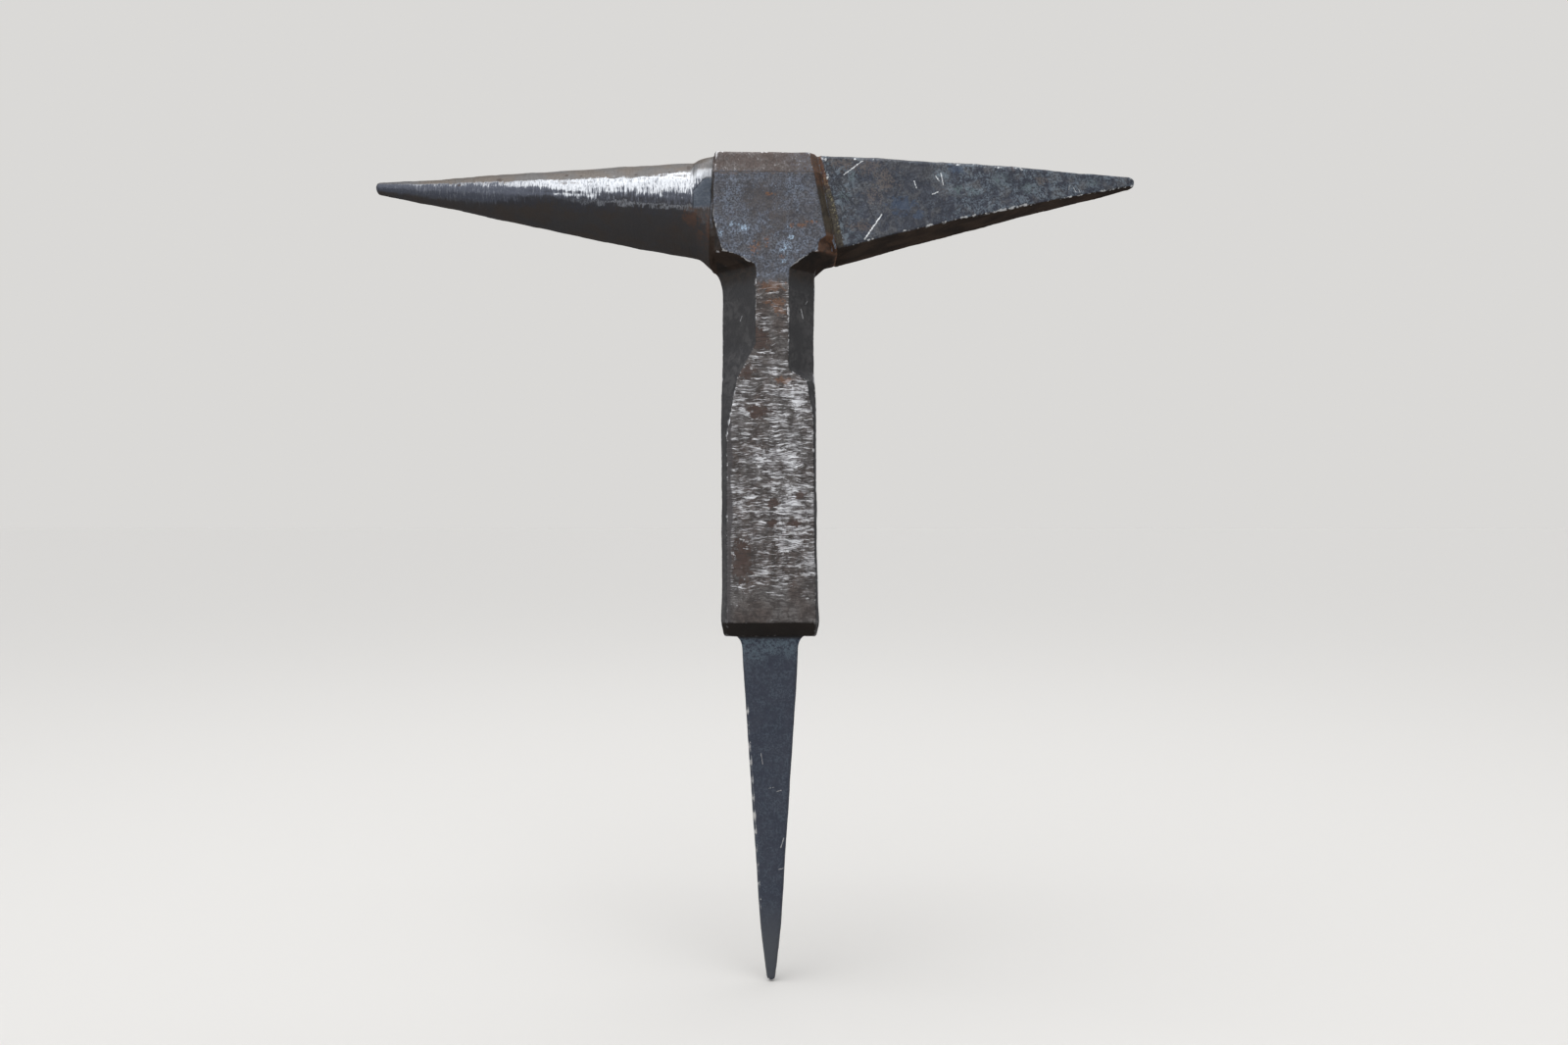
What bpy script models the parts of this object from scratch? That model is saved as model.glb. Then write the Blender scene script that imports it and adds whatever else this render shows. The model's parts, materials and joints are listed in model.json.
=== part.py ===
"""Hand-forged stake anvil: head and shank, face plate, round horn, square horn and spike.

The anvil stands upright. +Z runs from the shoulder to the working face, +X points to the
square horn, and the front of the head faces -Y. The origin is the middle of the shoulder
under the shank, where the anvil seats on its stump.
"""

import math

import bmesh
import bpy

MM = 0.001
GAP = 0.3 * MM  # clearance between pieces that touch

# Head and shank
HEIGHT = 154.1 * MM  # shoulder to working face
BAR_THICKNESS = 30.0 * MM  # front to back, the same in head and shank
SHANK_WIDTH = 31.0 * MM  # at the shoulder
WAIST = 1.2 * MM  # how far the square-horn side draws in up to the neck
SHANK_EDGE_CHAMFER = 1.8 * MM
SEAM_HEIGHT = 33.0 * MM  # height of the head over which its two sides splay
ROUND_SIDE_REACH = 17.6 * MM  # axis to the head's round-horn side, at the working face
ROUND_SIDE_SPLAY = 1.7 * MM
SQUARE_SIDE_REACH = 15.0 * MM  # axis to the head's square-horn side, at the working face
SQUARE_SIDE_SPLAY = 6.6 * MM
SQUARE_SIDE_STEP = 2.5 * MM  # chamfer that steps from the head's face down to the square horn
HEAD_EDGE_CHAMFER = 0.4 * MM
ROUND_SIDE_FLARE = 9.0 * MM  # height of the cove under the round horn
SQUARE_SIDE_FLARE = 6.0 * MM
COVE_STEPS = 6
CHAMFER_LIMIT = 0.9  # widest corner chamfer, as a share of half the thickness

# Chamfered neck between shank and head
NECK_TOP_DEPTH = 42.1 * MM  # working face to the neck's upper end
ROUND_NECK_CHAMFER = 10.9 * MM
ROUND_NECK_LENGTH = 18.8 * MM
ROUND_STOP_LENGTH = 11.0 * MM  # length over which the chamfer runs out
ROUND_STOP_CHAMFER = 5.1 * MM  # chamfer left below the stop
ROUND_STOP_FADE = 18.0 * MM  # length over which that fades into the shank's edge
SQUARE_NECK_CHAMFER = 8.3 * MM
SQUARE_NECK_LENGTH = 27.0 * MM
SQUARE_STOP_LENGTH = 3.6 * MM
SQUARE_STOP_CHAMFER = 2.6 * MM
SQUARE_STOP_FADE = 12.0 * MM

# Lower corners of the head's face, as (height above the cove's upper end, chamfer)
ROUND_FACE_CORNER = [
    (-3.1 * MM, 12.2 * MM),
    (-0.5 * MM, 13.1 * MM),
    (1.1 * MM, 11.0 * MM),
    (2.5 * MM, 7.8 * MM),
    (3.4 * MM, 4.4 * MM),
    (8.1 * MM, 2.6 * MM),
]
SQUARE_FACE_CORNER = [
    (-5.2 * MM, 8.2 * MM),
    (-3.7 * MM, 6.7 * MM),
    (-1.3 * MM, 5.2 * MM),
    (0.0 * MM, 6.2 * MM),
    (3.3 * MM, 5.2 * MM),
]
FACE_CORNER_RISE = 16.0 * MM  # height above the cove at which the round side's corner is square
STEP_RISE = 5.0 * MM  # height above the cove at which the square side's step is even

# Foot of the shank
RIM_HEIGHT = 4.6 * MM
RIM_CHAMFER_FRONT = 3.4 * MM
RIM_CHAMFER_SIDE = 0.8 * MM
RIM_LEDGE = 1.2 * MM  # least flat ledge left around the spike's seat

# Face plate
PLATE_THICKNESS = 6.6 * MM
PLATE_EDGE = 0.4 * MM

# Round horn
ROUND_HORN_REACH = 129.8 * MM  # shank axis to tip
ROUND_ROOT_HEIGHT = 35.0 * MM  # height of its squared root, against the head
ROUND_ROOT_INSET = 0.6 * MM  # root set back from the head's face
ROUND_ROOT_TOP_POWER = 9.0  # corner sharpness of the root, above and below its middle
ROUND_ROOT_LOW_POWER = 3.0
ROUND_START_REACH = 24.9 * MM  # axis to where the horn becomes round
ROUND_START_RADIUS = 15.2 * MM
ROUND_TIP_RADIUS = 1.9 * MM
ROUND_HORN_DROP = 6.0 * MM  # fall of its top line from head to tip
ROUND_HORN_BOW = 1.08  # over 1 makes the taper slightly full
ROUND_SIDES = 48
ROUND_STATIONS = 14
ROUND_BLEND_STEPS = 4

# Square horn
SQUARE_HORN_REACH = 120.0 * MM
SQUARE_ROOT_HEIGHT = 31.8 * MM
SQUARE_ROOT_INSET = 2.7 * MM  # root set back from the head's face, front and back
SQUARE_TIP_THICKNESS = 5.0 * MM
SQUARE_TIP_HEIGHT = 3.6 * MM
SQUARE_TIP_ROUNDING = 3.0 * MM
SQUARE_HORN_DROP = 4.2 * MM
SQUARE_HORN_BOW = 1.9  # how full the taper is in plan
SQUARE_BELLY_BOW = 0.93  # under 1 hollows the underside slightly
SQUARE_EDGE_CHAMFER = 0.9 * MM
SQUARE_STATIONS = 12

# Tenons of the two horns
TENON_LENGTH = 9.0 * MM
TENON_THICKNESS = 12.0 * MM
TENON_HEIGHT = 14.0 * MM
TENON_DEPTH = 20.0 * MM  # working face to the tenons' centre line

# Stake spike
SPIKE_LENGTH = 114.4 * MM
SPIKE_WIDTH = 18.8 * MM  # just under the shoulder
SPIKE_POINT_WIDTH = 2.6 * MM
SPIKE_POINT_LENGTH = 19.4 * MM  # the steeper last stretch, down to the point
SPIKE_BREAK_WIDTH = 6.9 * MM  # where that stretch begins
SPIKE_EDGE_CHAMFER = 0.7 * MM
SPIKE_COVE_SIDE = 2.8 * MM  # spread of the root cove towards the horns
SPIKE_COVE_FRONT = 0.6 * MM
SPIKE_COVE_HEIGHT = 4.0 * MM
SPIKE_LET_IN = 2.0 * MM  # depth to which the root is let into the shank
SPIKE_TENON_WIDTH = 12.0 * MM
SPIKE_TENON_LENGTH = 22.0 * MM

TIP_ROUNDING_STEPS = 3
CUT_MARGIN = 5.0 * MM  # how far a cutter passes the surface it opens


def clear_scene():
    for thing in list(bpy.data.objects):
        bpy.data.objects.remove(thing)


def add_collection(name):
    collection = bpy.data.collections.new(name)
    bpy.context.scene.collection.children.link(collection)
    return collection


def steel(name, colour, roughness, metallic):
    material = bpy.data.materials.new(name)
    material.use_nodes = True
    shader = material.node_tree.nodes["Principled BSDF"]
    shader.inputs["Base Color"].default_value = (*colour, 1.0)
    shader.inputs["Roughness"].default_value = roughness
    shader.inputs["Metallic"].default_value = metallic
    return material


def add_object(name, mesh_builder, collection, material=None):
    """Turns a finished bmesh into an object, with its faces pointing out."""
    bmesh.ops.recalc_face_normals(mesh_builder, faces=mesh_builder.faces)
    mesh = bpy.data.meshes.new(name)
    mesh_builder.to_mesh(mesh)
    mesh_builder.free()
    thing = bpy.data.objects.new(name, mesh)
    collection.objects.link(thing)
    if material:
        mesh.materials.append(material)
    return thing


def loft(name, rings, collection, material):
    """Skins a run of rings that all have the same number of points, and closes both ends."""
    mesh_builder = bmesh.new()
    loops = [[mesh_builder.verts.new(point) for point in ring] for ring in rings]
    count = len(rings[0])
    for near, far in zip(loops, loops[1:]):
        for index in range(count):
            after = (index + 1) % count
            mesh_builder.faces.new((near[index], near[after], far[after], far[index]))
    mesh_builder.faces.new(loops[0])
    mesh_builder.faces.new(loops[-1])
    return add_object(name, mesh_builder, collection, material)


def cut_box(target, low, high, collection):
    """Cuts the box between two corners out of the target."""
    mesh_builder = bmesh.new()
    bmesh.ops.create_cube(mesh_builder, size=1.0)
    for vert in mesh_builder.verts:
        for axis in range(3):
            middle = (low[axis] + high[axis]) / 2
            vert.co[axis] = middle + vert.co[axis] * (high[axis] - low[axis])
    cutter = add_object(target.name + "_cutter", mesh_builder, collection)
    cutter.hide_render = True
    cutter.display_type = "WIRE"
    cut = target.modifiers.new("cut", "BOOLEAN")
    cut.operation = "DIFFERENCE"
    cut.solver = "EXACT"
    cut.object = cutter


def between(start, end, share):
    return start + (end - start) * share


def follow(points, position):
    """Reads a straight-line graph, given as (position, value) pairs in rising order."""
    for (low, low_value), (high, high_value) in zip(points, points[1:]):
        if position <= high:
            return between(low_value, high_value, (position - low) / (high - low))
    return points[-1][1]


def octagon(low, high, half_thickness, low_chamfer, high_chamfer):
    """Outline of a bar with chamfered corners, as (across, front to back) pairs."""
    return [
        (low + low_chamfer, -half_thickness),
        (high - high_chamfer, -half_thickness),
        (high, -half_thickness + high_chamfer),
        (high, half_thickness - high_chamfer),
        (high - high_chamfer, half_thickness),
        (low + low_chamfer, half_thickness),
        (low, half_thickness - low_chamfer),
        (low, -half_thickness + low_chamfer),
    ]


def round_side(z):
    """Axis to the seam between the head and the round horn."""
    return ROUND_SIDE_REACH + ROUND_SIDE_SPLAY * (HEIGHT - z) / SEAM_HEIGHT


def square_side(z):
    """Axis to the seam between the head and the square horn."""
    return SQUARE_SIDE_REACH + SQUARE_SIDE_SPLAY * (HEIGHT - z) / SEAM_HEIGHT


def coved_reach(z, shank_reach, seam, root_height, flare):
    """Half width on one side: straight shank, then a cove, then the head's splayed side."""
    cove_end = HEIGHT - root_height
    cove_start = cove_end - flare
    if z <= cove_start:
        return shank_reach
    if z >= cove_end:
        return seam(z)
    rise = (z - cove_start) / flare
    return between(shank_reach, seam(cove_end), 1 - math.sqrt(1 - rise * rise))


def neck_graph(edge, neck_length, neck_chamfer, stop_length, stop_chamfer, fade):
    """Corner chamfer at each height from the shoulder up to the top of the neck."""
    neck_top = HEIGHT - NECK_TOP_DEPTH
    neck_bottom = neck_top - neck_length
    stop = neck_bottom - stop_length
    return [
        (0.0, edge / 2),
        (RIM_HEIGHT, edge),
        (stop - fade, edge),
        (stop, stop_chamfer),
        (neck_bottom, neck_chamfer),
        (neck_top, neck_chamfer),
    ]


def round_side_chamfers():
    """Corner chamfer at each height on the round-horn side, from shoulder to face."""
    cove_end = HEIGHT - ROUND_ROOT_HEIGHT
    graph = neck_graph(
        SHANK_EDGE_CHAMFER,
        ROUND_NECK_LENGTH,
        ROUND_NECK_CHAMFER,
        ROUND_STOP_LENGTH,
        ROUND_STOP_CHAMFER,
        ROUND_STOP_FADE,
    )
    graph += [(cove_end + rise, chamfer) for rise, chamfer in ROUND_FACE_CORNER]
    graph.append((cove_end + FACE_CORNER_RISE, HEAD_EDGE_CHAMFER))
    graph.append((HEIGHT, HEAD_EDGE_CHAMFER))
    return graph


def square_side_chamfers():
    """Corner chamfer at each height on the square-horn side, from shoulder to face."""
    cove_end = HEIGHT - SQUARE_ROOT_HEIGHT
    graph = neck_graph(
        SHANK_EDGE_CHAMFER / 2,
        SQUARE_NECK_LENGTH,
        SQUARE_NECK_CHAMFER,
        SQUARE_STOP_LENGTH,
        SQUARE_STOP_CHAMFER,
        SQUARE_STOP_FADE,
    )
    graph += [(cove_end + rise, chamfer) for rise, chamfer in SQUARE_FACE_CORNER]
    graph.append((cove_end + STEP_RISE, SQUARE_SIDE_STEP))
    graph.append((HEIGHT, SQUARE_SIDE_STEP))
    return graph


def rim_chamfer_front():
    """The foot's front and back chamfer, no wider than leaves a ledge around the spike."""
    spike_seat = SPIKE_WIDTH / 2 + SPIKE_COVE_FRONT + GAP
    return min(RIM_CHAMFER_FRONT, BAR_THICKNESS / 2 - spike_seat - RIM_LEDGE)


def spike_cove_side():
    """Sideways spread of the spike's root, no wider than leaves a ledge around it."""
    foot = SHANK_WIDTH / 2 - RIM_CHAMFER_SIDE
    return min(SPIKE_COVE_SIDE, foot - RIM_LEDGE - GAP - SPIKE_WIDTH / 2)


def head_section(z, inset=0.0):
    """Cross-section of the head and shank at one height."""
    half_width = SHANK_WIDTH / 2
    neck_bottom = HEIGHT - NECK_TOP_DEPTH - SQUARE_NECK_LENGTH
    waisted = half_width - WAIST * min(z / neck_bottom, 1.0)
    left = coved_reach(z, half_width, round_side, ROUND_ROOT_HEIGHT, ROUND_SIDE_FLARE)
    right = coved_reach(z, waisted, square_side, SQUARE_ROOT_HEIGHT, SQUARE_SIDE_FLARE)
    half_thickness = BAR_THICKNESS / 2
    widest_chamfer = half_thickness * CHAMFER_LIMIT
    if z < RIM_HEIGHT:
        share = 1 - z / RIM_HEIGHT
        left -= RIM_CHAMFER_SIDE * share
        right -= RIM_CHAMFER_SIDE * share
        half_thickness -= rim_chamfer_front() * share
    outline = octagon(
        -left + inset,
        right - inset,
        half_thickness - inset,
        min(follow(round_side_chamfers(), z), widest_chamfer),
        min(follow(square_side_chamfers(), z), widest_chamfer),
    )
    return [(x, y, z) for x, y in outline]


def cove_levels(root_height, flare):
    """Heights at which a cove's arc is drawn, evenly spaced along the arc."""
    start = HEIGHT - root_height - flare
    return [start + flare * math.sin(math.pi / 2 * step / COVE_STEPS) for step in range(COVE_STEPS + 1)]


def make_body_forging(parts, cutters):
    top = HEIGHT - PLATE_THICKNESS - GAP
    levels = {z for z, _ in round_side_chamfers() + square_side_chamfers()}
    levels.update(cove_levels(ROUND_ROOT_HEIGHT, ROUND_SIDE_FLARE))
    levels.update(cove_levels(SQUARE_ROOT_HEIGHT, SQUARE_SIDE_FLARE))
    heights = sorted(round(z, 6) for z in levels if z < top - MM)
    heights.append(top)
    finish = steel("dark_forged_steel", (0.10, 0.10, 0.115), 0.48, 0.85)
    body = loft("body_forging", [head_section(z) for z in heights], parts, finish)

    tenon_middle = HEIGHT - TENON_DEPTH
    mortise_y = TENON_THICKNESS / 2 + GAP
    mortise_low = tenon_middle - TENON_HEIGHT / 2 - GAP
    mortise_high = tenon_middle + TENON_HEIGHT / 2 + GAP
    round_end = -round_side(tenon_middle) + TENON_LENGTH + 2 * GAP
    square_end = square_side(tenon_middle) - TENON_LENGTH - 2 * GAP
    cut_box(
        body,
        (-round_side(tenon_middle) - CUT_MARGIN, -mortise_y, mortise_low),
        (round_end, mortise_y, mortise_high),
        cutters,
    )
    cut_box(
        body,
        (square_end, -mortise_y, mortise_low),
        (square_side(tenon_middle) + CUT_MARGIN, mortise_y, mortise_high),
        cutters,
    )
    socket = SPIKE_TENON_WIDTH / 2 + GAP
    socket_top = SPIKE_LET_IN + SPIKE_TENON_LENGTH + GAP
    cut_box(body, (-socket, -socket, -CUT_MARGIN), (socket, socket, socket_top), cutters)
    seat_x = SPIKE_WIDTH / 2 + spike_cove_side() + GAP
    seat_y = SPIKE_WIDTH / 2 + SPIKE_COVE_FRONT + GAP
    cut_box(body, (-seat_x, -seat_y, -CUT_MARGIN), (seat_x, seat_y, SPIKE_LET_IN), cutters)


def make_face_plate(parts):
    bottom = HEIGHT - PLATE_THICKNESS
    edge = HEIGHT - PLATE_EDGE
    finish = steel("brown_worn_steel", (0.17, 0.15, 0.14), 0.42, 0.85)
    rings = [head_section(bottom), head_section(edge), head_section(HEIGHT, PLATE_EDGE)]
    loft("face_plate", rings, parts, finish)


def squared_ring(x_at, middle, half_height, half_thickness, top_power, low_power):
    """Ring that is round at power 2 and squarer above it. x_at gives x for each height."""
    ring = []
    for side in range(ROUND_SIDES):
        angle = 2 * math.pi * side / ROUND_SIDES
        power = top_power if math.sin(angle) >= 0 else low_power
        across = math.copysign(abs(math.cos(angle)) ** (2 / power), math.cos(angle))
        up = math.copysign(abs(math.sin(angle)) ** (2 / power), math.sin(angle))
        z = middle + half_height * up
        ring.append((x_at(z), half_thickness * across, z))
    return ring


def round_ring(reach, middle, radius):
    return squared_ring(lambda z: -reach, middle, radius, radius, 2.0, 2.0)


def round_horn_section(share):
    """Distance from the axis, height of the middle and radius at a share of the way to the tip."""
    bowed = share**ROUND_HORN_BOW
    reach = between(ROUND_START_REACH, ROUND_HORN_REACH - ROUND_TIP_RADIUS / 2, share)
    radius = between(ROUND_START_RADIUS, ROUND_TIP_RADIUS, bowed)
    return reach, HEIGHT - ROUND_HORN_DROP * bowed - radius, radius


def make_round_horn(parts):
    root_half = ROUND_ROOT_HEIGHT / 2 - GAP
    root_middle = HEIGHT - ROUND_ROOT_HEIGHT / 2
    root_thickness = BAR_THICKNESS / 2 - ROUND_ROOT_INSET
    tenon_middle = HEIGHT - TENON_DEPTH

    def seam(z):
        return -round_side(z) - GAP

    def tenon_end(z):
        return -round_side(tenon_middle) + TENON_LENGTH

    tenon = (tenon_middle, TENON_HEIGHT / 2, TENON_THICKNESS / 2)
    tenon_power = ROUND_ROOT_TOP_POWER
    root_powers = (ROUND_ROOT_TOP_POWER, ROUND_ROOT_LOW_POWER)
    rings = [
        squared_ring(tenon_end, *tenon, tenon_power, tenon_power),
        squared_ring(seam, *tenon, tenon_power, tenon_power),
        squared_ring(seam, root_middle, root_half, root_thickness, *root_powers),
    ]
    _, start_middle, start_radius = round_horn_section(0.0)
    for step in range(1, ROUND_BLEND_STEPS):
        share = step / ROUND_BLEND_STEPS
        ease = math.sin(share * math.pi / 2)

        def blend_x(z, share=share):
            return between(seam(z), -ROUND_START_REACH, share)

        rings.append(
            squared_ring(
                blend_x,
                between(root_middle, start_middle, ease),
                between(root_half, start_radius, ease),
                between(root_thickness, start_radius, ease),
                between(ROUND_ROOT_TOP_POWER, 2.0, math.sqrt(share)),
                between(ROUND_ROOT_LOW_POWER, 2.0, math.sqrt(share)),
            )
        )
    for station in range(ROUND_STATIONS + 1):
        rings.append(round_ring(*round_horn_section(station / ROUND_STATIONS)))
    _, tip_middle, tip_radius = round_horn_section(1.0)
    for step in range(1, TIP_ROUNDING_STEPS):
        angle = math.pi / 2 * step / TIP_ROUNDING_STEPS
        reach = ROUND_HORN_REACH - ROUND_TIP_RADIUS / 2 * (1 - math.sin(angle))
        rings.append(round_ring(reach, tip_middle, tip_radius * math.cos(angle)))
    finish = steel("polished_horn_steel", (0.22, 0.22, 0.23), 0.35, 0.9)
    loft("round_horn", rings, parts, finish)


def square_horn_ring(x_at, low, high, half_thickness, chamfer):
    outline = octagon(low, high, half_thickness, chamfer, chamfer)
    return [(x_at(z), y, z) for z, y in outline]


def square_horn_section(share):
    """Lowest and highest point, half thickness and corner chamfer at a share of the way."""
    root_low = HEIGHT - SQUARE_ROOT_HEIGHT + GAP
    high = HEIGHT - GAP - SQUARE_HORN_DROP * share
    tip_low = HEIGHT - GAP - SQUARE_HORN_DROP - SQUARE_TIP_HEIGHT
    low = between(root_low, tip_low, share**SQUARE_BELLY_BOW)
    root_thickness = BAR_THICKNESS - 2 * SQUARE_ROOT_INSET
    thickness = between(root_thickness, SQUARE_TIP_THICKNESS, share**SQUARE_HORN_BOW)
    return low, high, thickness / 2, SQUARE_EDGE_CHAMFER * (1 - share / 2)


def make_square_horn(parts):
    tenon_middle = HEIGHT - TENON_DEPTH

    def seam(z):
        return square_side(z) + GAP

    def tenon_end(z):
        return square_side(tenon_middle) - TENON_LENGTH

    tenon_low = tenon_middle - TENON_HEIGHT / 2
    tenon_high = tenon_middle + TENON_HEIGHT / 2
    tenon = (tenon_low, tenon_high, TENON_THICKNESS / 2, SQUARE_EDGE_CHAMFER)
    rings = [square_horn_ring(tenon_end, *tenon), square_horn_ring(seam, *tenon)]
    for station in range(SQUARE_STATIONS + 1):
        share = station / SQUARE_STATIONS

        def station_x(z, share=share):
            return between(seam(z), SQUARE_HORN_REACH - SQUARE_TIP_ROUNDING, share)

        rings.append(square_horn_ring(station_x, *square_horn_section(share)))
    low, high, half_thickness, chamfer = square_horn_section(1.0)
    middle = (low + high) / 2
    for step in range(1, TIP_ROUNDING_STEPS):
        angle = math.pi / 2 * step / TIP_ROUNDING_STEPS
        shrink = math.cos(angle)
        reach = SQUARE_HORN_REACH - SQUARE_TIP_ROUNDING * (1 - math.sin(angle))
        rings.append(
            square_horn_ring(
                lambda z, reach=reach: reach,
                between(middle, low, shrink),
                between(middle, high, shrink),
                half_thickness * shrink,
                chamfer * shrink,
            )
        )
    finish = steel("blue_black_scaled_steel", (0.085, 0.095, 0.115), 0.55, 0.8)
    loft("square_horn", rings, parts, finish)


def spike_ring(z, half_x, half_y, chamfer):
    return [(x, y, z) for x, y in octagon(-half_x, half_x, half_y, chamfer, chamfer)]


def spike_half_width(depth):
    graph = [
        (0.0, SPIKE_WIDTH),
        (SPIKE_LENGTH - SPIKE_POINT_LENGTH, SPIKE_BREAK_WIDTH),
        (SPIKE_LENGTH, SPIKE_POINT_WIDTH),
    ]
    return follow(graph, depth) / 2


def make_stake_spike(parts):
    tenon = SPIKE_TENON_WIDTH / 2
    root_x = SPIKE_WIDTH / 2 + spike_cove_side()
    root_y = SPIKE_WIDTH / 2 + SPIKE_COVE_FRONT
    seat = SPIKE_LET_IN - GAP
    rings = [
        spike_ring(SPIKE_LET_IN + SPIKE_TENON_LENGTH, tenon, tenon, SPIKE_EDGE_CHAMFER),
        spike_ring(seat, tenon, tenon, SPIKE_EDGE_CHAMFER),
        spike_ring(seat, root_x, root_y, SPIKE_EDGE_CHAMFER),
    ]
    for step in range(COVE_STEPS + 1):
        angle = math.pi / 2 * step / COVE_STEPS
        depth = SPIKE_COVE_HEIGHT * (1 - math.cos(angle))
        spread = 1 - math.sin(angle)
        half = spike_half_width(depth)
        half_x = half + (root_x - SPIKE_WIDTH / 2) * spread
        half_y = half + (root_y - SPIKE_WIDTH / 2) * spread
        rings.append(spike_ring(-depth, half_x, half_y, SPIKE_EDGE_CHAMFER))
    taper_bottom = SPIKE_LENGTH - SPIKE_POINT_WIDTH / 2
    for depth in (SPIKE_LENGTH - SPIKE_POINT_LENGTH, taper_bottom):
        half = spike_half_width(depth)
        rings.append(spike_ring(-depth, half, half, SPIKE_EDGE_CHAMFER))
    half = spike_half_width(taper_bottom)
    for step in range(1, TIP_ROUNDING_STEPS):
        angle = math.pi / 2 * step / TIP_ROUNDING_STEPS
        shrink = math.cos(angle)
        depth = SPIKE_LENGTH - SPIKE_POINT_WIDTH / 2 * (1 - math.sin(angle))
        rings.append(spike_ring(-depth, half * shrink, half * shrink, SPIKE_EDGE_CHAMFER * shrink))
    finish = steel("slate_blue_steel", (0.075, 0.085, 0.10), 0.45, 0.8)
    loft("stake_spike", rings, parts, finish)


clear_scene()
anvil_parts = add_collection("stake_anvil")
anvil_cutters = add_collection("cutters")
make_body_forging(anvil_parts, anvil_cutters)
make_face_plate(anvil_parts)
make_round_horn(anvil_parts)
make_square_horn(anvil_parts)
make_stake_spike(anvil_parts)
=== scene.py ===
import json
import math

import bpy
import numpy as np
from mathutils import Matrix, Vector, noise as grain

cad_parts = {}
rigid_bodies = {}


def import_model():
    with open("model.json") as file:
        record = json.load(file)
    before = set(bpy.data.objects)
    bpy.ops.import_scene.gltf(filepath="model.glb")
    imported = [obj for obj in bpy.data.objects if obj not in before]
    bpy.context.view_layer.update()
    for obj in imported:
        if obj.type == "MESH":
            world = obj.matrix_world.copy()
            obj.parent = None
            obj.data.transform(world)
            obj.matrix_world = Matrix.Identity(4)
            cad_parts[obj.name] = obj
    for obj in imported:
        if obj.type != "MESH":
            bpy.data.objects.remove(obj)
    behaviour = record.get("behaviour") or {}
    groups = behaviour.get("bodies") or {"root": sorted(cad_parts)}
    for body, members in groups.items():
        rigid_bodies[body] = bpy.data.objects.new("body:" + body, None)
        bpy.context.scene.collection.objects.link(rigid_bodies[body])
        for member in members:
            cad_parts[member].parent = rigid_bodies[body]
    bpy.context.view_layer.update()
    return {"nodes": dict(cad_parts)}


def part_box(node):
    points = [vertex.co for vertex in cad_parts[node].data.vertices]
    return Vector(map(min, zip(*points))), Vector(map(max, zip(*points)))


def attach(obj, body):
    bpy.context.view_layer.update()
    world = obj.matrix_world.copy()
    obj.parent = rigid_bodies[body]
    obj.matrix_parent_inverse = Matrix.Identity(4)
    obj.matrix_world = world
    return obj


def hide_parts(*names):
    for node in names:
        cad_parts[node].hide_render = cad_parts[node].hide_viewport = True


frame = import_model()

mm = 0.001
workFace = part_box("face_plate")[1].z
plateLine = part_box("face_plate")[0].z  # underside of the steel face
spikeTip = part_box("stake_spike")[0].z
print("frame loaded, working face at", round(workFace / mm, 1), "mm")


# tools for shaping

def selectOnly(piece):
    for thing in bpy.context.view_layer.objects:
        thing.select_set(thing == piece)
    bpy.context.view_layer.objects.active = piece


def copyOfNode(nodeName, pieceName):
    piece = bpy.data.objects.new(pieceName, frame["nodes"][nodeName].data.copy())
    bpy.context.scene.collection.objects.link(piece)
    piece.data.materials.clear()
    selectOnly(piece)
    bpy.ops.object.mode_set(mode="EDIT")
    bpy.ops.mesh.select_all(action="SELECT")
    bpy.ops.mesh.remove_doubles(threshold=0.01 * mm)
    bpy.ops.mesh.dissolve_limited(angle_limit=math.radians(0.5))
    bpy.ops.mesh.select_all(action="DESELECT")
    bpy.ops.object.mode_set(mode="OBJECT")
    return piece


def applied(piece, kind, **settings):
    selectOnly(piece)
    modifier = piece.modifiers.new(kind.lower(), kind)
    for name, value in settings.items():
        setattr(modifier, name, value)
    bpy.ops.object.modifier_apply(modifier=modifier.name)


def moveFaces(piece, wanted, shift):
    selectOnly(piece)
    for part in (*piece.data.vertices, *piece.data.edges):
        part.select = False
    for face in piece.data.polygons:
        face.select = wanted(face.center, face.normal)
    bpy.ops.object.mode_set(mode="EDIT")
    bpy.ops.transform.translate(value=shift)
    bpy.ops.mesh.select_all(action="DESELECT")
    bpy.ops.object.mode_set(mode="OBJECT")


def closedPocket(piece, wanted):
    # takes out the faces of a pocket and closes its mouth
    selectOnly(piece)
    for part in (*piece.data.vertices, *piece.data.edges):
        part.select = False
    for face in piece.data.polygons:
        face.select = wanted(face.center)
    bpy.ops.object.mode_set(mode="EDIT")
    bpy.ops.mesh.select_mode(type="FACE")
    bpy.ops.mesh.delete(type="FACE")
    bpy.ops.mesh.select_mode(type="VERT")
    bpy.ops.mesh.select_all(action="SELECT")
    bpy.ops.mesh.fill_holes(sides=0)
    bpy.ops.mesh.select_all(action="DESELECT")
    bpy.ops.object.mode_set(mode="OBJECT")


def joined(*pieces):
    selectOnly(pieces[0])
    for piece in pieces[1:]:
        piece.select_set(True)
    bpy.ops.object.join()
    return pieces[0]


def keptSide(piece, point, normal, ahead):
    # cuts flat through the piece and closes the cut, keeping the side ahead of the normal or behind it
    selectOnly(piece)
    bpy.ops.object.mode_set(mode="EDIT")
    bpy.ops.mesh.select_all(action="SELECT")
    bpy.ops.mesh.bisect(plane_co=point, plane_no=normal, use_fill=True, clear_inner=ahead, clear_outer=not ahead)
    bpy.ops.mesh.select_all(action="DESELECT")
    bpy.ops.object.mode_set(mode="OBJECT")


def cutOff(piece, pieceName, cuts):
    part = piece.copy()
    part.data = piece.data.copy()
    part.name = pieceName
    bpy.context.scene.collection.objects.link(part)
    for point, normal, ahead in cuts:
        keptSide(part, point, normal, ahead)
    return part


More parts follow.
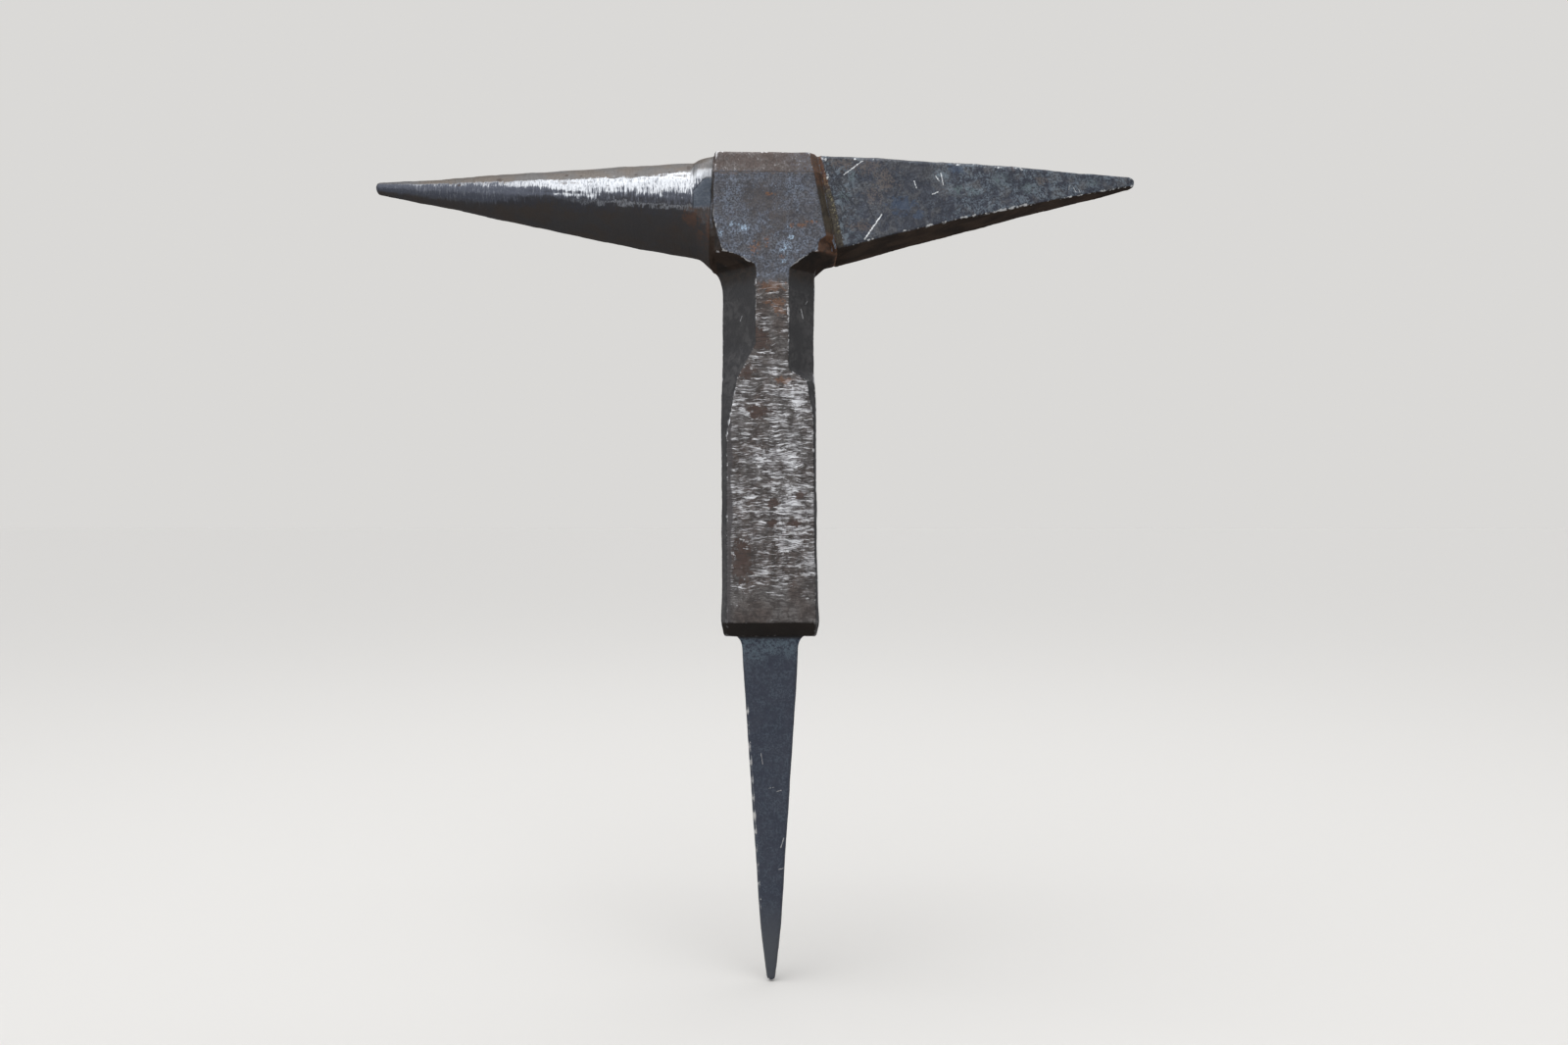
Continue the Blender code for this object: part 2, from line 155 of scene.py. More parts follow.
def cloudTexture(name, size, depth=2, contrast=1.0):
    texture = bpy.data.textures.new(name, "CLOUDS")
    texture.noise_scale = size
    texture.noise_depth = depth
    texture.contrast = contrast
    return texture


def hammered(piece, textures, strengths):
    for texture, strength in zip(textures, strengths):
        applied(piece, "DISPLACE", texture=texture, strength=strength, texture_coords="LOCAL")


def forgedSkin(piece, voxel, softening):
    applied(piece, "REMESH", mode="VOXEL", voxel_size=voxel, use_smooth_shade=True)
    applied(piece, "SMOOTH", factor=0.5, iterations=softening)


def markEdges(piece, passes, fullHeight):
    # stores how far each point stands out of, or lies in, its softened surroundings
    count = len(piece.data.vertices)
    place = np.empty(count * 3)
    normal = np.empty(count * 3)
    softPlace = np.empty(count * 3)
    piece.data.vertices.foreach_get("co", place)
    piece.data.vertices.foreach_get("normal", normal)
    soft = piece.copy()
    soft.data = piece.data.copy()
    bpy.context.scene.collection.objects.link(soft)
    applied(soft, "SMOOTH", factor=0.5, iterations=passes)
    soft.data.vertices.foreach_get("co", softPlace)
    bpy.data.objects.remove(soft)
    standing = ((place - softPlace) * normal).reshape(-1, 3).sum(axis=1) / fullHeight
    for name, value in (("edge", standing), ("hollow", -standing)):
        attribute = piece.data.attributes.new(name, "FLOAT", "POINT")
        attribute.data.foreach_set("value", np.clip(value, 0.0, 2.0))


def finished(piece, material, node):
    piece.data.materials.clear()
    piece.data.materials.append(material)
    selectOnly(piece)
    bpy.ops.object.shade_smooth()
    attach(piece, "root")
    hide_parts(node)
    print(piece.name, len(piece.data.polygons), "faces")


# tools for materials

def wired(tree, kind, inputs=None, **settings):
    made = tree.nodes.new(kind)
    for name, value in settings.items():
        setattr(made, name, value)
    for socket, value in (inputs or {}).items():
        if isinstance(value, bpy.types.NodeSocket):
            tree.links.new(value, made.inputs[socket])
        elif isinstance(value, tuple) and made.inputs[socket].type == "RGBA":
            made.inputs[socket].default_value = (*value[:3], 1.0)
        else:
            made.inputs[socket].default_value = value
    return made


def mixColour(tree, factor, first, second, blend="MIX"):
    inputs = {0: factor, 6: first, 7: second}
    return wired(tree, "ShaderNodeMix", inputs, data_type="RGBA", blend_type=blend).outputs[2]


def mixValue(tree, factor, first, second):
    return wired(tree, "ShaderNodeMix", {0: factor, 2: first, 3: second}).outputs[0]


def calc(tree, operation, first, second=0.0, third=0.0):
    made = wired(tree, "ShaderNodeMath", {0: first, 1: second, 2: third}, operation=operation)
    return made.outputs[0]


def product(tree, *values):
    result = values[0]
    for value in values[1:]:
        result = calc(tree, "MULTIPLY", result, value)
    return result


def most(tree, *values):
    result = values[0]
    for value in values[1:]:
        result = calc(tree, "MAXIMUM", result, value)
    return result


def opposite(tree, value):
    return calc(tree, "SUBTRACT", 1.0, value)


def ramp(tree, value, low, high, start=0.0, end=1.0):
    inputs = {"Value": value, "From Min": low, "From Max": high, "To Min": start, "To Max": end}
    return wired(tree, "ShaderNodeMapRange", inputs, interpolation_type="SMOOTHSTEP").outputs[0]


def stretched(tree, vector, scale, turn=(0.0, 0.0, 0.0)):
    return wired(tree, "ShaderNodeMapping", {"Vector": vector, "Scale": scale, "Rotation": turn}).outputs[0]


def noise(tree, vector, size, detail=3.0, roughness=0.55, distortion=0.0):
    inputs = {
        "Vector": vector,
        "Scale": 1.0 / size,
        "Detail": detail,
        "Roughness": roughness,
        "Distortion": distortion,
    }
    return wired(tree, "ShaderNodeTexNoise", inputs).outputs["Fac"]


def parts(tree, vector):
    return wired(tree, "ShaderNodeSeparateXYZ", {0: vector}).outputs


def newGroup(name, inputs, outputs):
    group = bpy.data.node_groups.new(name, "ShaderNodeTree")
    for socketName, kind, value in inputs:
        socket = group.interface.new_socket(socketName, in_out="INPUT", socket_type="NodeSocket" + kind)
        if value is not None:
            socket.default_value = value
    for socketName, kind in outputs:
        group.interface.new_socket(socketName, in_out="OUTPUT", socket_type="NodeSocket" + kind)
    return group, group.nodes.new("NodeGroupInput").outputs, group.nodes.new("NodeGroupOutput").inputs


def useGroup(tree, group, inputs):
    made = tree.nodes.new("ShaderNodeGroup")
    made.node_tree = group
    for socket, value in inputs.items():
        if isinstance(value, bpy.types.NodeSocket):
            tree.links.new(value, made.inputs[socket])
        elif isinstance(value, tuple) and made.inputs[socket].type == "RGBA":
            made.inputs[socket].default_value = (*value[:3], 1.0)
        else:
            made.inputs[socket].default_value = value
    return made.outputs


# mottled forge scale: broad clouds, flakes, fine grain, pale crumbs and rusty crumbs
def makeScaleGroup():
    group, source, result = newGroup(
        "forgeScale",
        [("Vector", "Vector", None), ("Crumbs", "Float", 0.5), ("Rusting", "Float", 0.5)],
        [(name, "Float") for name in ("Broad", "Flakes", "Fine", "Pale", "Rust", "Height")],
    )
    vector = source["Vector"]
    broad = ramp(group, noise(group, vector, 9 * mm, 3.0, 0.55, 0.4), 0.36, 0.64)
    middle = noise(group, vector, 2.4 * mm, 4.0, 0.65, 0.5)
    flakes = ramp(group, middle, 0.40, 0.60)
    grit = noise(group, vector, 0.6 * mm, 2.0, 0.6)
    fine = ramp(group, grit, 0.38, 0.62)
    crumbs = calc(group, "ADD", product(group, middle, 0.45), product(group, grit, 0.55))
    paleLow = calc(group, "SUBTRACT", 0.72, product(group, source["Crumbs"], 0.16))
    pale = ramp(group, crumbs, paleLow, calc(group, "ADD", paleLow, 0.05))
    rustPlace = noise(group, stretched(group, vector, (1.0, 1.0, 1.3), (0.4, 0.9, 0.2)), 4.5 * mm, 5.0, 0.7, 0.6)
    rustLow = calc(group, "SUBTRACT", 0.74, product(group, source["Rusting"], 0.22))
    rust = ramp(group, rustPlace, rustLow, calc(group, "ADD", rustLow, 0.08))
    height = calc(group, "ADD", product(group, middle, 0.6), product(group, grit, 0.4))
    made = (broad, flakes, fine, pale, rust, height)
    for name, value in zip(("Broad", "Flakes", "Fine", "Pale", "Rust", "Height"), made):
        group.links.new(value, result[name])
    return group


# bright metal where an edge has rubbed, broken up so that it is not an even line
def makeWornGroup():
    group, source, result = newGroup(
        "wornEdge",
        [("Vector", "Vector", None), ("Amount", "Float", 0.5), ("Break", "Float", 0.5)],
        [("Mask", "Float")],
    )
    edge = wired(group, "ShaderNodeAttribute", attribute_name="edge").outputs["Fac"]
    broken = noise(group, source["Vector"], 1.6 * mm, 4.0, 0.7)
    long = noise(group, source["Vector"], 7 * mm, 2.0, 0.5)
    gaps = calc(group, "ADD", product(group, broken, 0.6), product(group, long, 0.4))
    shifted = calc(group, "ADD", edge, product(group, calc(group, "SUBTRACT", gaps, 0.5), source["Break"], 5.0))
    low = calc(group, "SUBTRACT", 1.0, source["Amount"])
    mask = ramp(group, shifted, low, calc(group, "ADD", low, 0.18))
    group.links.new(product(group, mask, ramp(group, edge, 0.34, 0.58)), result["Mask"])
    return group


# short dashes left by a file or a coarse stone, all in one direction
def makeDashGroup():
    group, source, result = newGroup(
        "fileDashes",
        [
            ("Vector", "Vector", None),
            ("Length", "Float", 6 * mm),
            ("Width", "Float", 0.35 * mm),
            ("Cover", "Float", 0.5),
        ],
        [("Mask", "Float"), ("Height", "Float")],
    )
    # the marks run along X and are thin along Z
    place = parts(group, source["Vector"])
    along = calc(group, "DIVIDE", place[0], source["Length"])
    deep = calc(group, "DIVIDE", place[1], source["Length"])
    across = calc(group, "DIVIDE", place[2], source["Width"])
    flow = wired(group, "ShaderNodeCombineXYZ", {0: along, 1: deep, 2: across}).outputs[0]
    lines = noise(group, flow, 1.0, 2.0, 0.5)
    finer = noise(group, stretched(group, flow, (1.7, 1.7, 2.3)), 1.0, 2.0, 0.55)
    height = calc(group, "ADD", product(group, lines, 0.55), product(group, finer, 0.45))
    low = calc(group, "SUBTRACT", 0.68, product(group, source["Cover"], 0.22))
    group.links.new(ramp(group, height, low, calc(group, "ADD", low, 0.09)), result["Mask"])
    group.links.new(height, result["Height"])
    return group


# one soft-edged blot, ragged by noise
def makeBlotGroup():
    group, source, result = newGroup(
        "blot",
        [
            ("Vector", "Vector", None),
            ("Centre", "Vector", (0.0, 0.0, 0.0)),
            ("Reach", "Vector", (1.0, 1.0, 1.0)),
            ("Ragged", "Float", 0.5),
        ],
        [("Mask", "Float")],
    )
    away = wired(group, "ShaderNodeVectorMath", {0: source["Vector"], 1: source["Centre"]}, operation="SUBTRACT")
    scaled = wired(group, "ShaderNodeVectorMath", {0: away.outputs[0], 1: source["Reach"]}, operation="DIVIDE")
    distance = wired(group, "ShaderNodeVectorMath", {0: scaled.outputs[0]}, operation="LENGTH").outputs["Value"]
    ragged = noise(group, source["Vector"], 1.5 * mm, 4.0, 0.65)
    shifted = calc(group, "ADD", distance, product(group, calc(group, "SUBTRACT", ragged, 0.5), source["Ragged"], 8.0))
    group.links.new(ramp(group, shifted, 1.0, 0.55), result["Mask"])
    return group


# one straight scratch between two places, seen from the front or the back
def makeScratchGroup():
    group, source, result = newGroup(
        "scratch",
        [
            ("Vector", "Vector", None),
            ("From", "Vector", (0.0, 0.0, 0.0)),
            ("To", "Vector", (1.0, 0.0, 0.0)),
            ("Width", "Float", 0.3 * mm),
        ],
        [("Mask", "Float")],
    )

    def math3(operation, first, second):
        return wired(group, "ShaderNodeVectorMath", {0: first, 1: second}, operation=operation)

    flat = math3("MULTIPLY", source["Vector"], (1.0, 0.0, 1.0)).outputs[0]
    start = math3("MULTIPLY", source["From"], (1.0, 0.0, 1.0)).outputs[0]
    run = math3("SUBTRACT", source["To"], start).outputs[0]
    away = math3("SUBTRACT", flat, start).outputs[0]
    reach = math3("DOT_PRODUCT", away, run).outputs["Value"]
    length = math3("DOT_PRODUCT", run, run).outputs["Value"]
    share = wired(group, "ShaderNodeClamp", {0: calc(group, "DIVIDE", reach, length)}).outputs[0]
    nearest = wired(group, "ShaderNodeVectorMath", {0: run, "Scale": share}, operation="SCALE").outputs[0]
    distance = math3("DISTANCE", away, nearest).outputs["Value"]
    rough = product(group, calc(group, "SUBTRACT", noise(group, source["Vector"], 0.5 * mm, 2.0), 0.5), source["Width"], 3.0)
    shifted = calc(group, "ADD", distance, rough)
    group.links.new(ramp(group, shifted, source["Width"], product(group, source["Width"], 0.4)), result["Mask"])
    return group


scaleGroup = makeScaleGroup()
wornGroup = makeWornGroup()
dashGroup = makeDashGroup()
blotGroup = makeBlotGroup()
scratchGroup = makeScratchGroup()


def blots(tree, vector, places, ragged=0.25):
    # each blot reaches right through the piece, so the front and the back both carry it
    made = []
    for x, z, wide, high in places:
        inputs = {
            "Vector": vector,
            "Centre": (x * mm, 0.0, z * mm),
            "Reach": (wide * mm, 1.0, high * mm),
            "Ragged": ragged,
        }
        made.append(useGroup(tree, blotGroup, inputs)["Mask"])
    return most(tree, *made)


def scratches(tree, vector, places):
    made = []
    for fromX, fromZ, toX, toZ, width in places:
        inputs = {
            "Vector": vector,
            "From": (fromX * mm, 0.0, fromZ * mm),
            "To": (toX * mm, 0.0, toZ * mm),
            "Width": width * mm,
        }
        made.append(useGroup(tree, scratchGroup, inputs)["Mask"])
    return most(tree, *made)


class Surface:
    # colour, roughness, metal and height of one material, painted on layer by layer
    def __init__(self, name, colour, roughness, metal):
        self.material = bpy.data.materials.new(name)
        self.material.use_nodes = True
        self.tree = self.material.node_tree
        self.shader = self.tree.nodes["Principled BSDF"]
        where = self.tree.nodes.new("ShaderNodeTexCoord")
        self.vector = where.outputs["Object"]
        self.x, self.y, self.z = parts(self.tree, self.vector)
        self.facing = parts(self.tree, where.outputs["Normal"])
        self.colour = colour
        self.roughness = roughness
        self.metal = metal
        self.heights = []

    def coat(self, mask, colour=None, roughness=None, metal=None):
        if colour is not None:
            self.colour = mixColour(self.tree, mask, self.colour, colour)
        if roughness is not None:
            self.roughness = mixValue(self.tree, mask, self.roughness, roughness)
        if metal is not None:
            self.metal = mixValue(self.tree, mask, self.metal, metal)

    def raised(self, height, depth):
        self.heights.append((height, depth))

    def done(self, specular=0.5):
        normal = None
        for height, depth in self.heights:
            inputs = {"Height": height, "Distance": depth, "Strength": 1.0}
            if normal is not None:
                inputs["Normal"] = normal
            normal = wired(self.tree, "ShaderNodeBump", inputs).outputs[0]
        for socket, value in (("Base Color", self.colour), ("Roughness", self.roughness), ("Metallic", self.metal)):
            self.tree.links.new(value, self.shader.inputs[socket])
        if normal is not None:
            self.tree.links.new(normal, self.shader.inputs["Normal"])
        # painted shade: undersides get little specular shine, so they stay dark
        level = ramp(self.tree, self.facing[2], -0.40, 0.0, 0.0, specular)
        self.tree.links.new(level, self.shader.inputs["Specular IOR Level"])
        return self.material


# head and shank, and the steel face welded on it

forging = {
    "voxel": 0.45 * mm,
    "softening": 2,
    "dentSizes": (22 * mm, 6 * mm, 1.8 * mm),
    "dentDepths": (0.8 * mm, 0.34 * mm, 0.13 * mm),
    "overlap": 0.9 * mm,  # how far the pieces run into each other before they are fused
    "cutOut": 0.35 * mm,  # the cuts run this far outside the welds, clear of the head's bare flats
    "neckTop": workFace - 42.1 * mm,
    "rimTop": 4.6 * mm,
    "leftGroove": (0.42 * mm, 0.15 * mm),  # half width and depth
    "rightGroove": (0.60 * mm, 0.25 * mm),
    "crustWidth": 3.4 * mm,
    "crustHeight": 0.5 * mm,
    "edgePasses": 5,
    "edgeHeight": 0.065 * mm,
}


def seamOf(side):
    # the flat of the head that a horn is welded to, as a point and its outward normal
    body = frame["nodes"]["body_forging"].data
    flats = [face for face in body.polygons if face.normal.x * side > 0.9 and face.center.z > forging["neckTop"] + 12 * mm]
    flats = [face for face in flats if abs(face.center.x) > 12 * mm]
    widest = max(flats, key=lambda face: face.area)
    return widest.center.copy(), widest.normal.copy()


leftSeam = seamOf(-1)
rightSeam = seamOf(1)


def fromSeam(place, seam):
    return (place - seam[0]).dot(seam[1])


def weldGrooves(piece):
    # a thin line beside the round horn, a wider crusty one beside the square horn
    leftWidth, leftDepth = forging["leftGroove"]
    rightWidth, rightDepth = forging["rightGroove"]
    crustWidth = forging["crustWidth"]
    vertices = piece.data.vertices
    places = np.empty(len(vertices) * 3)
    normals = np.empty(len(vertices) * 3)
    vertices.foreach_get("co", places)
    vertices.foreach_get("normal", normals)
    places = places.reshape(-1, 3)
    normals = normals.reshape(-1, 3)
    inHead = places[:, 2] > forging["neckTop"] + 4 * mm
    nearSeam = np.zeros(len(vertices), bool)
    for point, normal in (leftSeam, rightSeam):
        nearSeam |= np.abs((places - np.array(point)) @ np.array(normal)) < crustWidth + 1 * mm
    for index in np.flatnonzero(inHead & nearSeam):
        place = Vector(places[index])
        wander = grain.noise(place / (5 * mm)) * 0.35 * mm
        left = abs(fromSeam(place, leftSeam) + wander) / leftWidth
        right = fromSeam(place, rightSeam) + wander
        shift = 0.0
        if left < 1:
            shift -= leftDepth * (1 - left * left)
        if abs(right) < rightWidth:
            shift -= rightDepth * (1 - (right / rightWidth) ** 2)
        if 0 < right < crustWidth:
            crumbs = grain.noise(place / (1.3 * mm)) + 0.5 * grain.noise(place / (0.6 * mm))
            fade = math.sin(math.pi * right / crustWidth)
            shift += forging["crustHeight"] * fade * (0.15 + 0.6 * crumbs)
        places[index] += normals[index] * shift
    vertices.foreach_set("co", places.ravel())
    piece.data.update()


def shapeForging():
    body = copyOfNode("body_forging", "forging")
    face = copyOfNode("face_plate", "forging_face")
    left = copyOfNode("round_horn", "forging_left")
    right = copyOfNode("square_horn", "forging_right")
    pocketHalf = 7 * mm
    pocketTop = workFace - 8 * mm

    def isMortise(middle):
        inside = fromSeam(middle, leftSeam) < -0.1 * mm and fromSeam(middle, rightSeam) < -0.1 * mm
        return inside and abs(middle.y) < pocketHalf and forging["neckTop"] < middle.z < pocketTop

    closedPocket(body, isMortise)
    top = max(vertex.co.z for vertex in body.data.vertices)
    moveFaces(body, lambda middle, normal: normal.z > 0.9 and middle.z > top - mm, (0, 0, forging["overlap"]))
    for horn, seam, side in ((left, leftSeam, -1), (right, rightSeam, 1)):
        point = seam[0] + seam[1] * 0.36 * mm
        keptSide(horn, point, seam[1], ahead=True)

        def isRoot(middle, normal):
            return normal.dot(seam[1]) < -0.95 and fromSeam(middle, seam) < 0.6 * mm

        moveFaces(horn, isRoot, -side * Vector((forging["overlap"], 0, 0)))
    whole = joined(body, face, left, right)
    forgedSkin(whole, forging["voxel"], forging["softening"])
    textures = [
        cloudTexture("forgeWaves", forging["dentSizes"][0], 1),
        cloudTexture("forgeDents", forging["dentSizes"][1], 2),
        cloudTexture("forgePits", forging["dentSizes"][2], 2),
    ]
    hammered(whole, textures, forging["dentDepths"])
    weldGrooves(whole)
    markEdges(whole, forging["edgePasses"], forging["edgeHeight"])
    level = ((0, 0, plateLine), (0, 0, 1))
    leftCut, rightCut = [(point + normal * forging["cutOut"], normal) for point, normal in (leftSeam, rightSeam)]
    middleCuts = [(*leftCut, False), (*rightCut, False)]
    pieces = [
        cutOff(whole, "head_and_shank", middleCuts + [(*level, False)]),
        cutOff(whole, "steel_face", middleCuts + [(*level, True)]),
        cutOff(whole, "round_horn_forged", [(*leftCut, True)]),
        cutOff(whole, "square_horn_forged", [(*rightCut, True)]),
    ]
    bpy.data.objects.remove(whole)
    return pieces


headAndShank, steelFace, roundHorn, squareHorn = shapeForging()
print("forging fused and cut at its welds")


headColours = {
    "charcoal": (0.041, 0.041, 0.044),
    "charcoalLight": (0.068, 0.067, 0.070),
    "headBlue": (0.108, 0.120, 0.154),
    "headGrey": (0.090, 0.091, 0.104),
    "headDark": (0.040, 0.041, 0.048),
    "filedDark": (0.036, 0.031, 0.030),
    "filedBrown": (0.090, 0.074, 0.069),
    "filedGrey": (0.130, 0.124, 0.124),
    "bright": (0.60, 0.61, 0.64),
    "dull": (0.33, 0.33, 0.35),
    "rust": (0.165, 0.078, 0.040),
    "darkRust": (0.062, 0.036, 0.029),
    "pale": (0.27, 0.34, 0.44),
    "palest": (0.30, 0.40, 0.52),
    # near-black tones, used as soot and as painted shade
    "sootAndShade": (0.017, 0.015, 0.014),
    "brownSootAndShade": (0.030, 0.022, 0.018),
    "heart": (0.066, 0.056, 0.053),
    "browned": (0.100, 0.083, 0.079),
    "strip": (0.055, 0.051, 0.054),
    "weldBrown": (0.092, 0.050, 0.033),
    "weldOlive": (0.056, 0.046, 0.034),
}
heartPlaces = [(-2.5, 139.0, 8.0, 5.5), (3.0, 133.0, 5.5, 4.0), (-1.5, 126.5, 4.0, 4.0), (11.0, 132.0, 3.0, 2.5)]
bluePatches = [(-12.0, 140.0, 3.5, 6.0), (-9.5, 130.0, 5.5, 3.0), (5.0, 123.5, 4.5, 3.5), (8.0, 141.5, 4.0, 3.0)]
neckRust = [(0.6, 111.6, 4.5, 2.0), (1.6, 106.4, 3.5, 1.5), (3.2, 103.6, 2.5, 1.5), (4.5, 81.4, 2.4, 1.4)]
shankBrown = [(-3.3, 94.7, 3.5, 4.0), (-8.0, 84.0, 3.5, 3.0), (-4.0, 71.5, 4.0, 2.5), (1.1, 42.5, 2.4, 1.6)]
shankBrown += [(9.5, 45.0, 2.2, 1.6), (7.8, 36.0, 2.8, 1.3), (1.1, 36.0, 2.0, 1.5), (-9.0, 24.0, 4.0, 8.0)]
shankBright = [(9.8, 78.0, 3.2, 8.0), (7.0, 40.0, 6.0, 9.0), (3.0, 56.0, 9.0, 5.0), (6.0, 30.0, 6.0, 4.0)]
faceOrange = [(-4.8, 123.5, 1.8, 1.9), (-1.0, 125.6, 1.0, 1.5), (3.7, 120.6, 1.1, 0.8), (9.0, 130.6, 2.6, 0.8)]
faceOrange += [(13.6, 131.6, 2.4, 0.7), (0.0, 140.5, 2.0, 0.7), (-0.9, 125.5, 0.9, 1.6)]
facePale = [(5.1, 123.7, 1.5, 1.5), (-8.6, 129.9, 1.8, 1.2), (-12.0, 131.4, 1.2, 0.8), (6.8, 126.8, 1.1, 0.8)]
facePale += [(4.0, 119.4, 1.0, 0.8), (-15.6, 128.4, 0.8, 1.2)]
neckNicks = [(9.9, 104.6, 10.6, 101.8, 0.20), (-9.0, 102.5, -9.6, 101.0, 0.12), (12.0, 107.5, 11.4, 106.4, 0.12)]


def headMaterial():
    made = Surface("forgedBody", headColours["charcoal"], 0.45, 0.25)
    tree = made.tree
    c = headColours
    scale = useGroup(tree, scaleGroup, {"Vector": made.vector, "Crumbs": 0.62, "Rusting": 0.42})
    frontness = calc(tree, "ABSOLUTE", made.facing[1])
    sideness = calc(tree, "ABSOLUTE", made.facing[0])
    face = ramp(tree, frontness, 0.86, 0.95)
    side = ramp(tree, sideness, 0.88, 0.96)
    inHead = ramp(tree, made.z, forging["neckTop"] - 1 * mm, forging["neckTop"] + 4 * mm)
    inShank = opposite(tree, inHead)
    made.coat(product(tree, scale["Broad"], scale["Flakes"]), c["charcoalLight"])
    chamferHead = product(tree, inHead, opposite(tree, face))
    made.coat(product(tree, chamferHead, 0.85), mixColour(tree, scale["Flakes"], c["sootAndShade"], c["brownSootAndShade"]), 0.55, 0.1)

    # filed front and back of the shank
    filed = product(tree, most(tree, face, product(tree, side, 0.6)), inShank)
    filedTone = mixColour(tree, scale["Broad"], c["filedBrown"], c["filedGrey"])
    filedTone = mixColour(tree, product(tree, opposite(tree, scale["Flakes"]), 0.75), filedTone, c["filedDark"])
    made.coat(filed, filedTone, 0.5, 0.4)
    brown = blots(tree, made.vector, shankBrown, 0.35)
    made.coat(product(tree, filed, brown, 0.7), c["darkRust"], 0.6, 0.2)
    wavy = noise(tree, made.vector, 6 * mm, 2.0)
    bentZ = calc(tree, "ADD", made.z, product(tree, wavy, 2.4 * mm))
    bent = wired(tree, "ShaderNodeCombineXYZ", {0: made.x, 1: made.y, 2: bentZ}).outputs[0]
    level = ramp(tree, made.z, 6 * mm, 19 * mm, 0.10, 0.72)
    neckLess = ramp(tree, made.z, 84 * mm, 92 * mm, 0.0, 0.16)
    clouds = ramp(tree, noise(tree, made.vector, 5 * mm, 4.0, 0.65), 0.34, 0.66, -0.24, 0.20)
    lit = product(tree, blots(tree, made.vector, shankBright, 0.35), 0.25)
    lessBrown = product(tree, brown, -0.5)
    cover = calc(tree, "ADD", calc(tree, "SUBTRACT", level, neckLess), calc(tree, "ADD", clouds, calc(tree, "ADD", lit, lessBrown)))
    dashes = useGroup(tree, dashGroup, {"Vector": bent, "Length": 4.2 * mm, "Width": 0.50 * mm, "Cover": cover})
    turned = stretched(tree, bent, (1.0, 1.0, 1.0), (0.0, 0.07, 0.0))
    fineCover = calc(tree, "SUBTRACT", cover, 0.02)
    fineDashes = useGroup(tree, dashGroup, {"Vector": turned, "Length": 2.6 * mm, "Width": 0.32 * mm, "Cover": fineCover})
    grooves = ramp(tree, dashes["Height"], 0.49, 0.40)
    fineGrooves = ramp(tree, fineDashes["Height"], 0.48, 0.40)
    made.coat(product(tree, filed, most(tree, grooves, product(tree, fineGrooves, 0.7)), 0.75), c["filedDark"], 0.6, 0.2)
    glint = ramp(tree, noise(tree, stretched(tree, bent, (0.5, 0.5, 1.6)), 1.6 * mm, 3.0, 0.6), 0.38, 0.62, 0.55, 1.0)
    made.coat(product(tree, filed, fineDashes["Mask"], glint, 0.75), c["dull"], 0.38, 0.9)
    made.coat(product(tree, filed, dashes["Mask"], glint, 0.95), c["bright"], 0.32, 1.0)
    made.coat(product(tree, face, blots(tree, made.vector, neckRust, 0.6), 0.5), c["rust"], 0.65, 0.1)
    # the smooth dark strip down one side of the shank
    stripLine = calc(tree, "ADD", made.x, product(tree, calc(tree, "SUBTRACT", scale["Broad"], 0.5), 0.8 * mm))
    strip = product(tree, ramp(tree, stripLine, -11.7 * mm, -12.4 * mm), ramp(tree, made.z, 86 * mm, 80 * mm), face)
    made.coat(product(tree, strip, 0.92), c["strip"], 0.42, 0.3)
    made.raised(product(tree, filed, dashes["Height"]), 0.30 * mm)
    made.raised(product(tree, filed, fineDashes["Height"]), 0.15 * mm)

    # scale on the head's face
    headFace = product(tree, face, inHead)
    blue = mixColour(tree, scale["Flakes"], c["headGrey"], c["headBlue"])
    blue = mixColour(tree, product(tree, opposite(tree, scale["Fine"]), 0.8), blue, c["headDark"])
    made.coat(headFace, blue, 0.42, 0.35)
    lowHead = ramp(tree, made.z, 141 * mm, 126 * mm)
    heart = product(tree, blots(tree, made.vector, heartPlaces, 0.45), ramp(tree, scale["Fine"], 0.0, 0.6, 0.35, 1.0))
    made.coat(product(tree, headFace, heart, 0.65), c["heart"], 0.48, 0.25)
    patches = product(tree, blots(tree, made.vector, bluePatches, 0.6), scale["Fine"])
    made.coat(product(tree, headFace, patches, 0.16), c["pale"], 0.38, 0.5)
    made.coat(product(tree, headFace, lowHead, scale["Flakes"], scale["Fine"], 0.12), c["pale"], 0.38, 0.5)
    sooty = ramp(tree, noise(tree, made.vector, 3.5 * mm, 5.0, 0.7, 0.5), 0.53, 0.64)
    made.coat(product(tree, headFace, sooty, 0.55), c["headDark"], 0.5, 0.2)
    made.coat(product(tree, headFace, scale["Rust"], 0.5), c["darkRust"], 0.6, 0.1)
    made.coat(product(tree, headFace, scale["Pale"], 0.55), c["pale"], 0.36, 0.6)
    made.coat(product(tree, headFace, blots(tree, made.vector, faceOrange, 0.6), scale["Fine"], 0.85), c["rust"], 0.6, 0.1)
    crumbly = ramp(tree, noise(tree, made.vector, 0.7 * mm, 4.0, 0.85), 0.48, 0.55)
    palest = product(tree, blots(tree, made.vector, facePale, 0.8), crumbly)
    made.coat(product(tree, headFace, palest, 0.85), c["palest"], 0.3, 0.7)
    # brown from the steel face straggles a little way down over the blue
    straggle = calc(tree, "ADD", made.z, product(tree, noise(tree, made.vector, 1.6 * mm, 4.0, 0.7), 8 * mm))
    brownTop = ramp(tree, straggle, plateLine + 3.3 * mm, plateLine + 4.7 * mm)
    made.coat(product(tree, headFace, brownTop, 0.8), c["browned"], 0.45, 0.3)
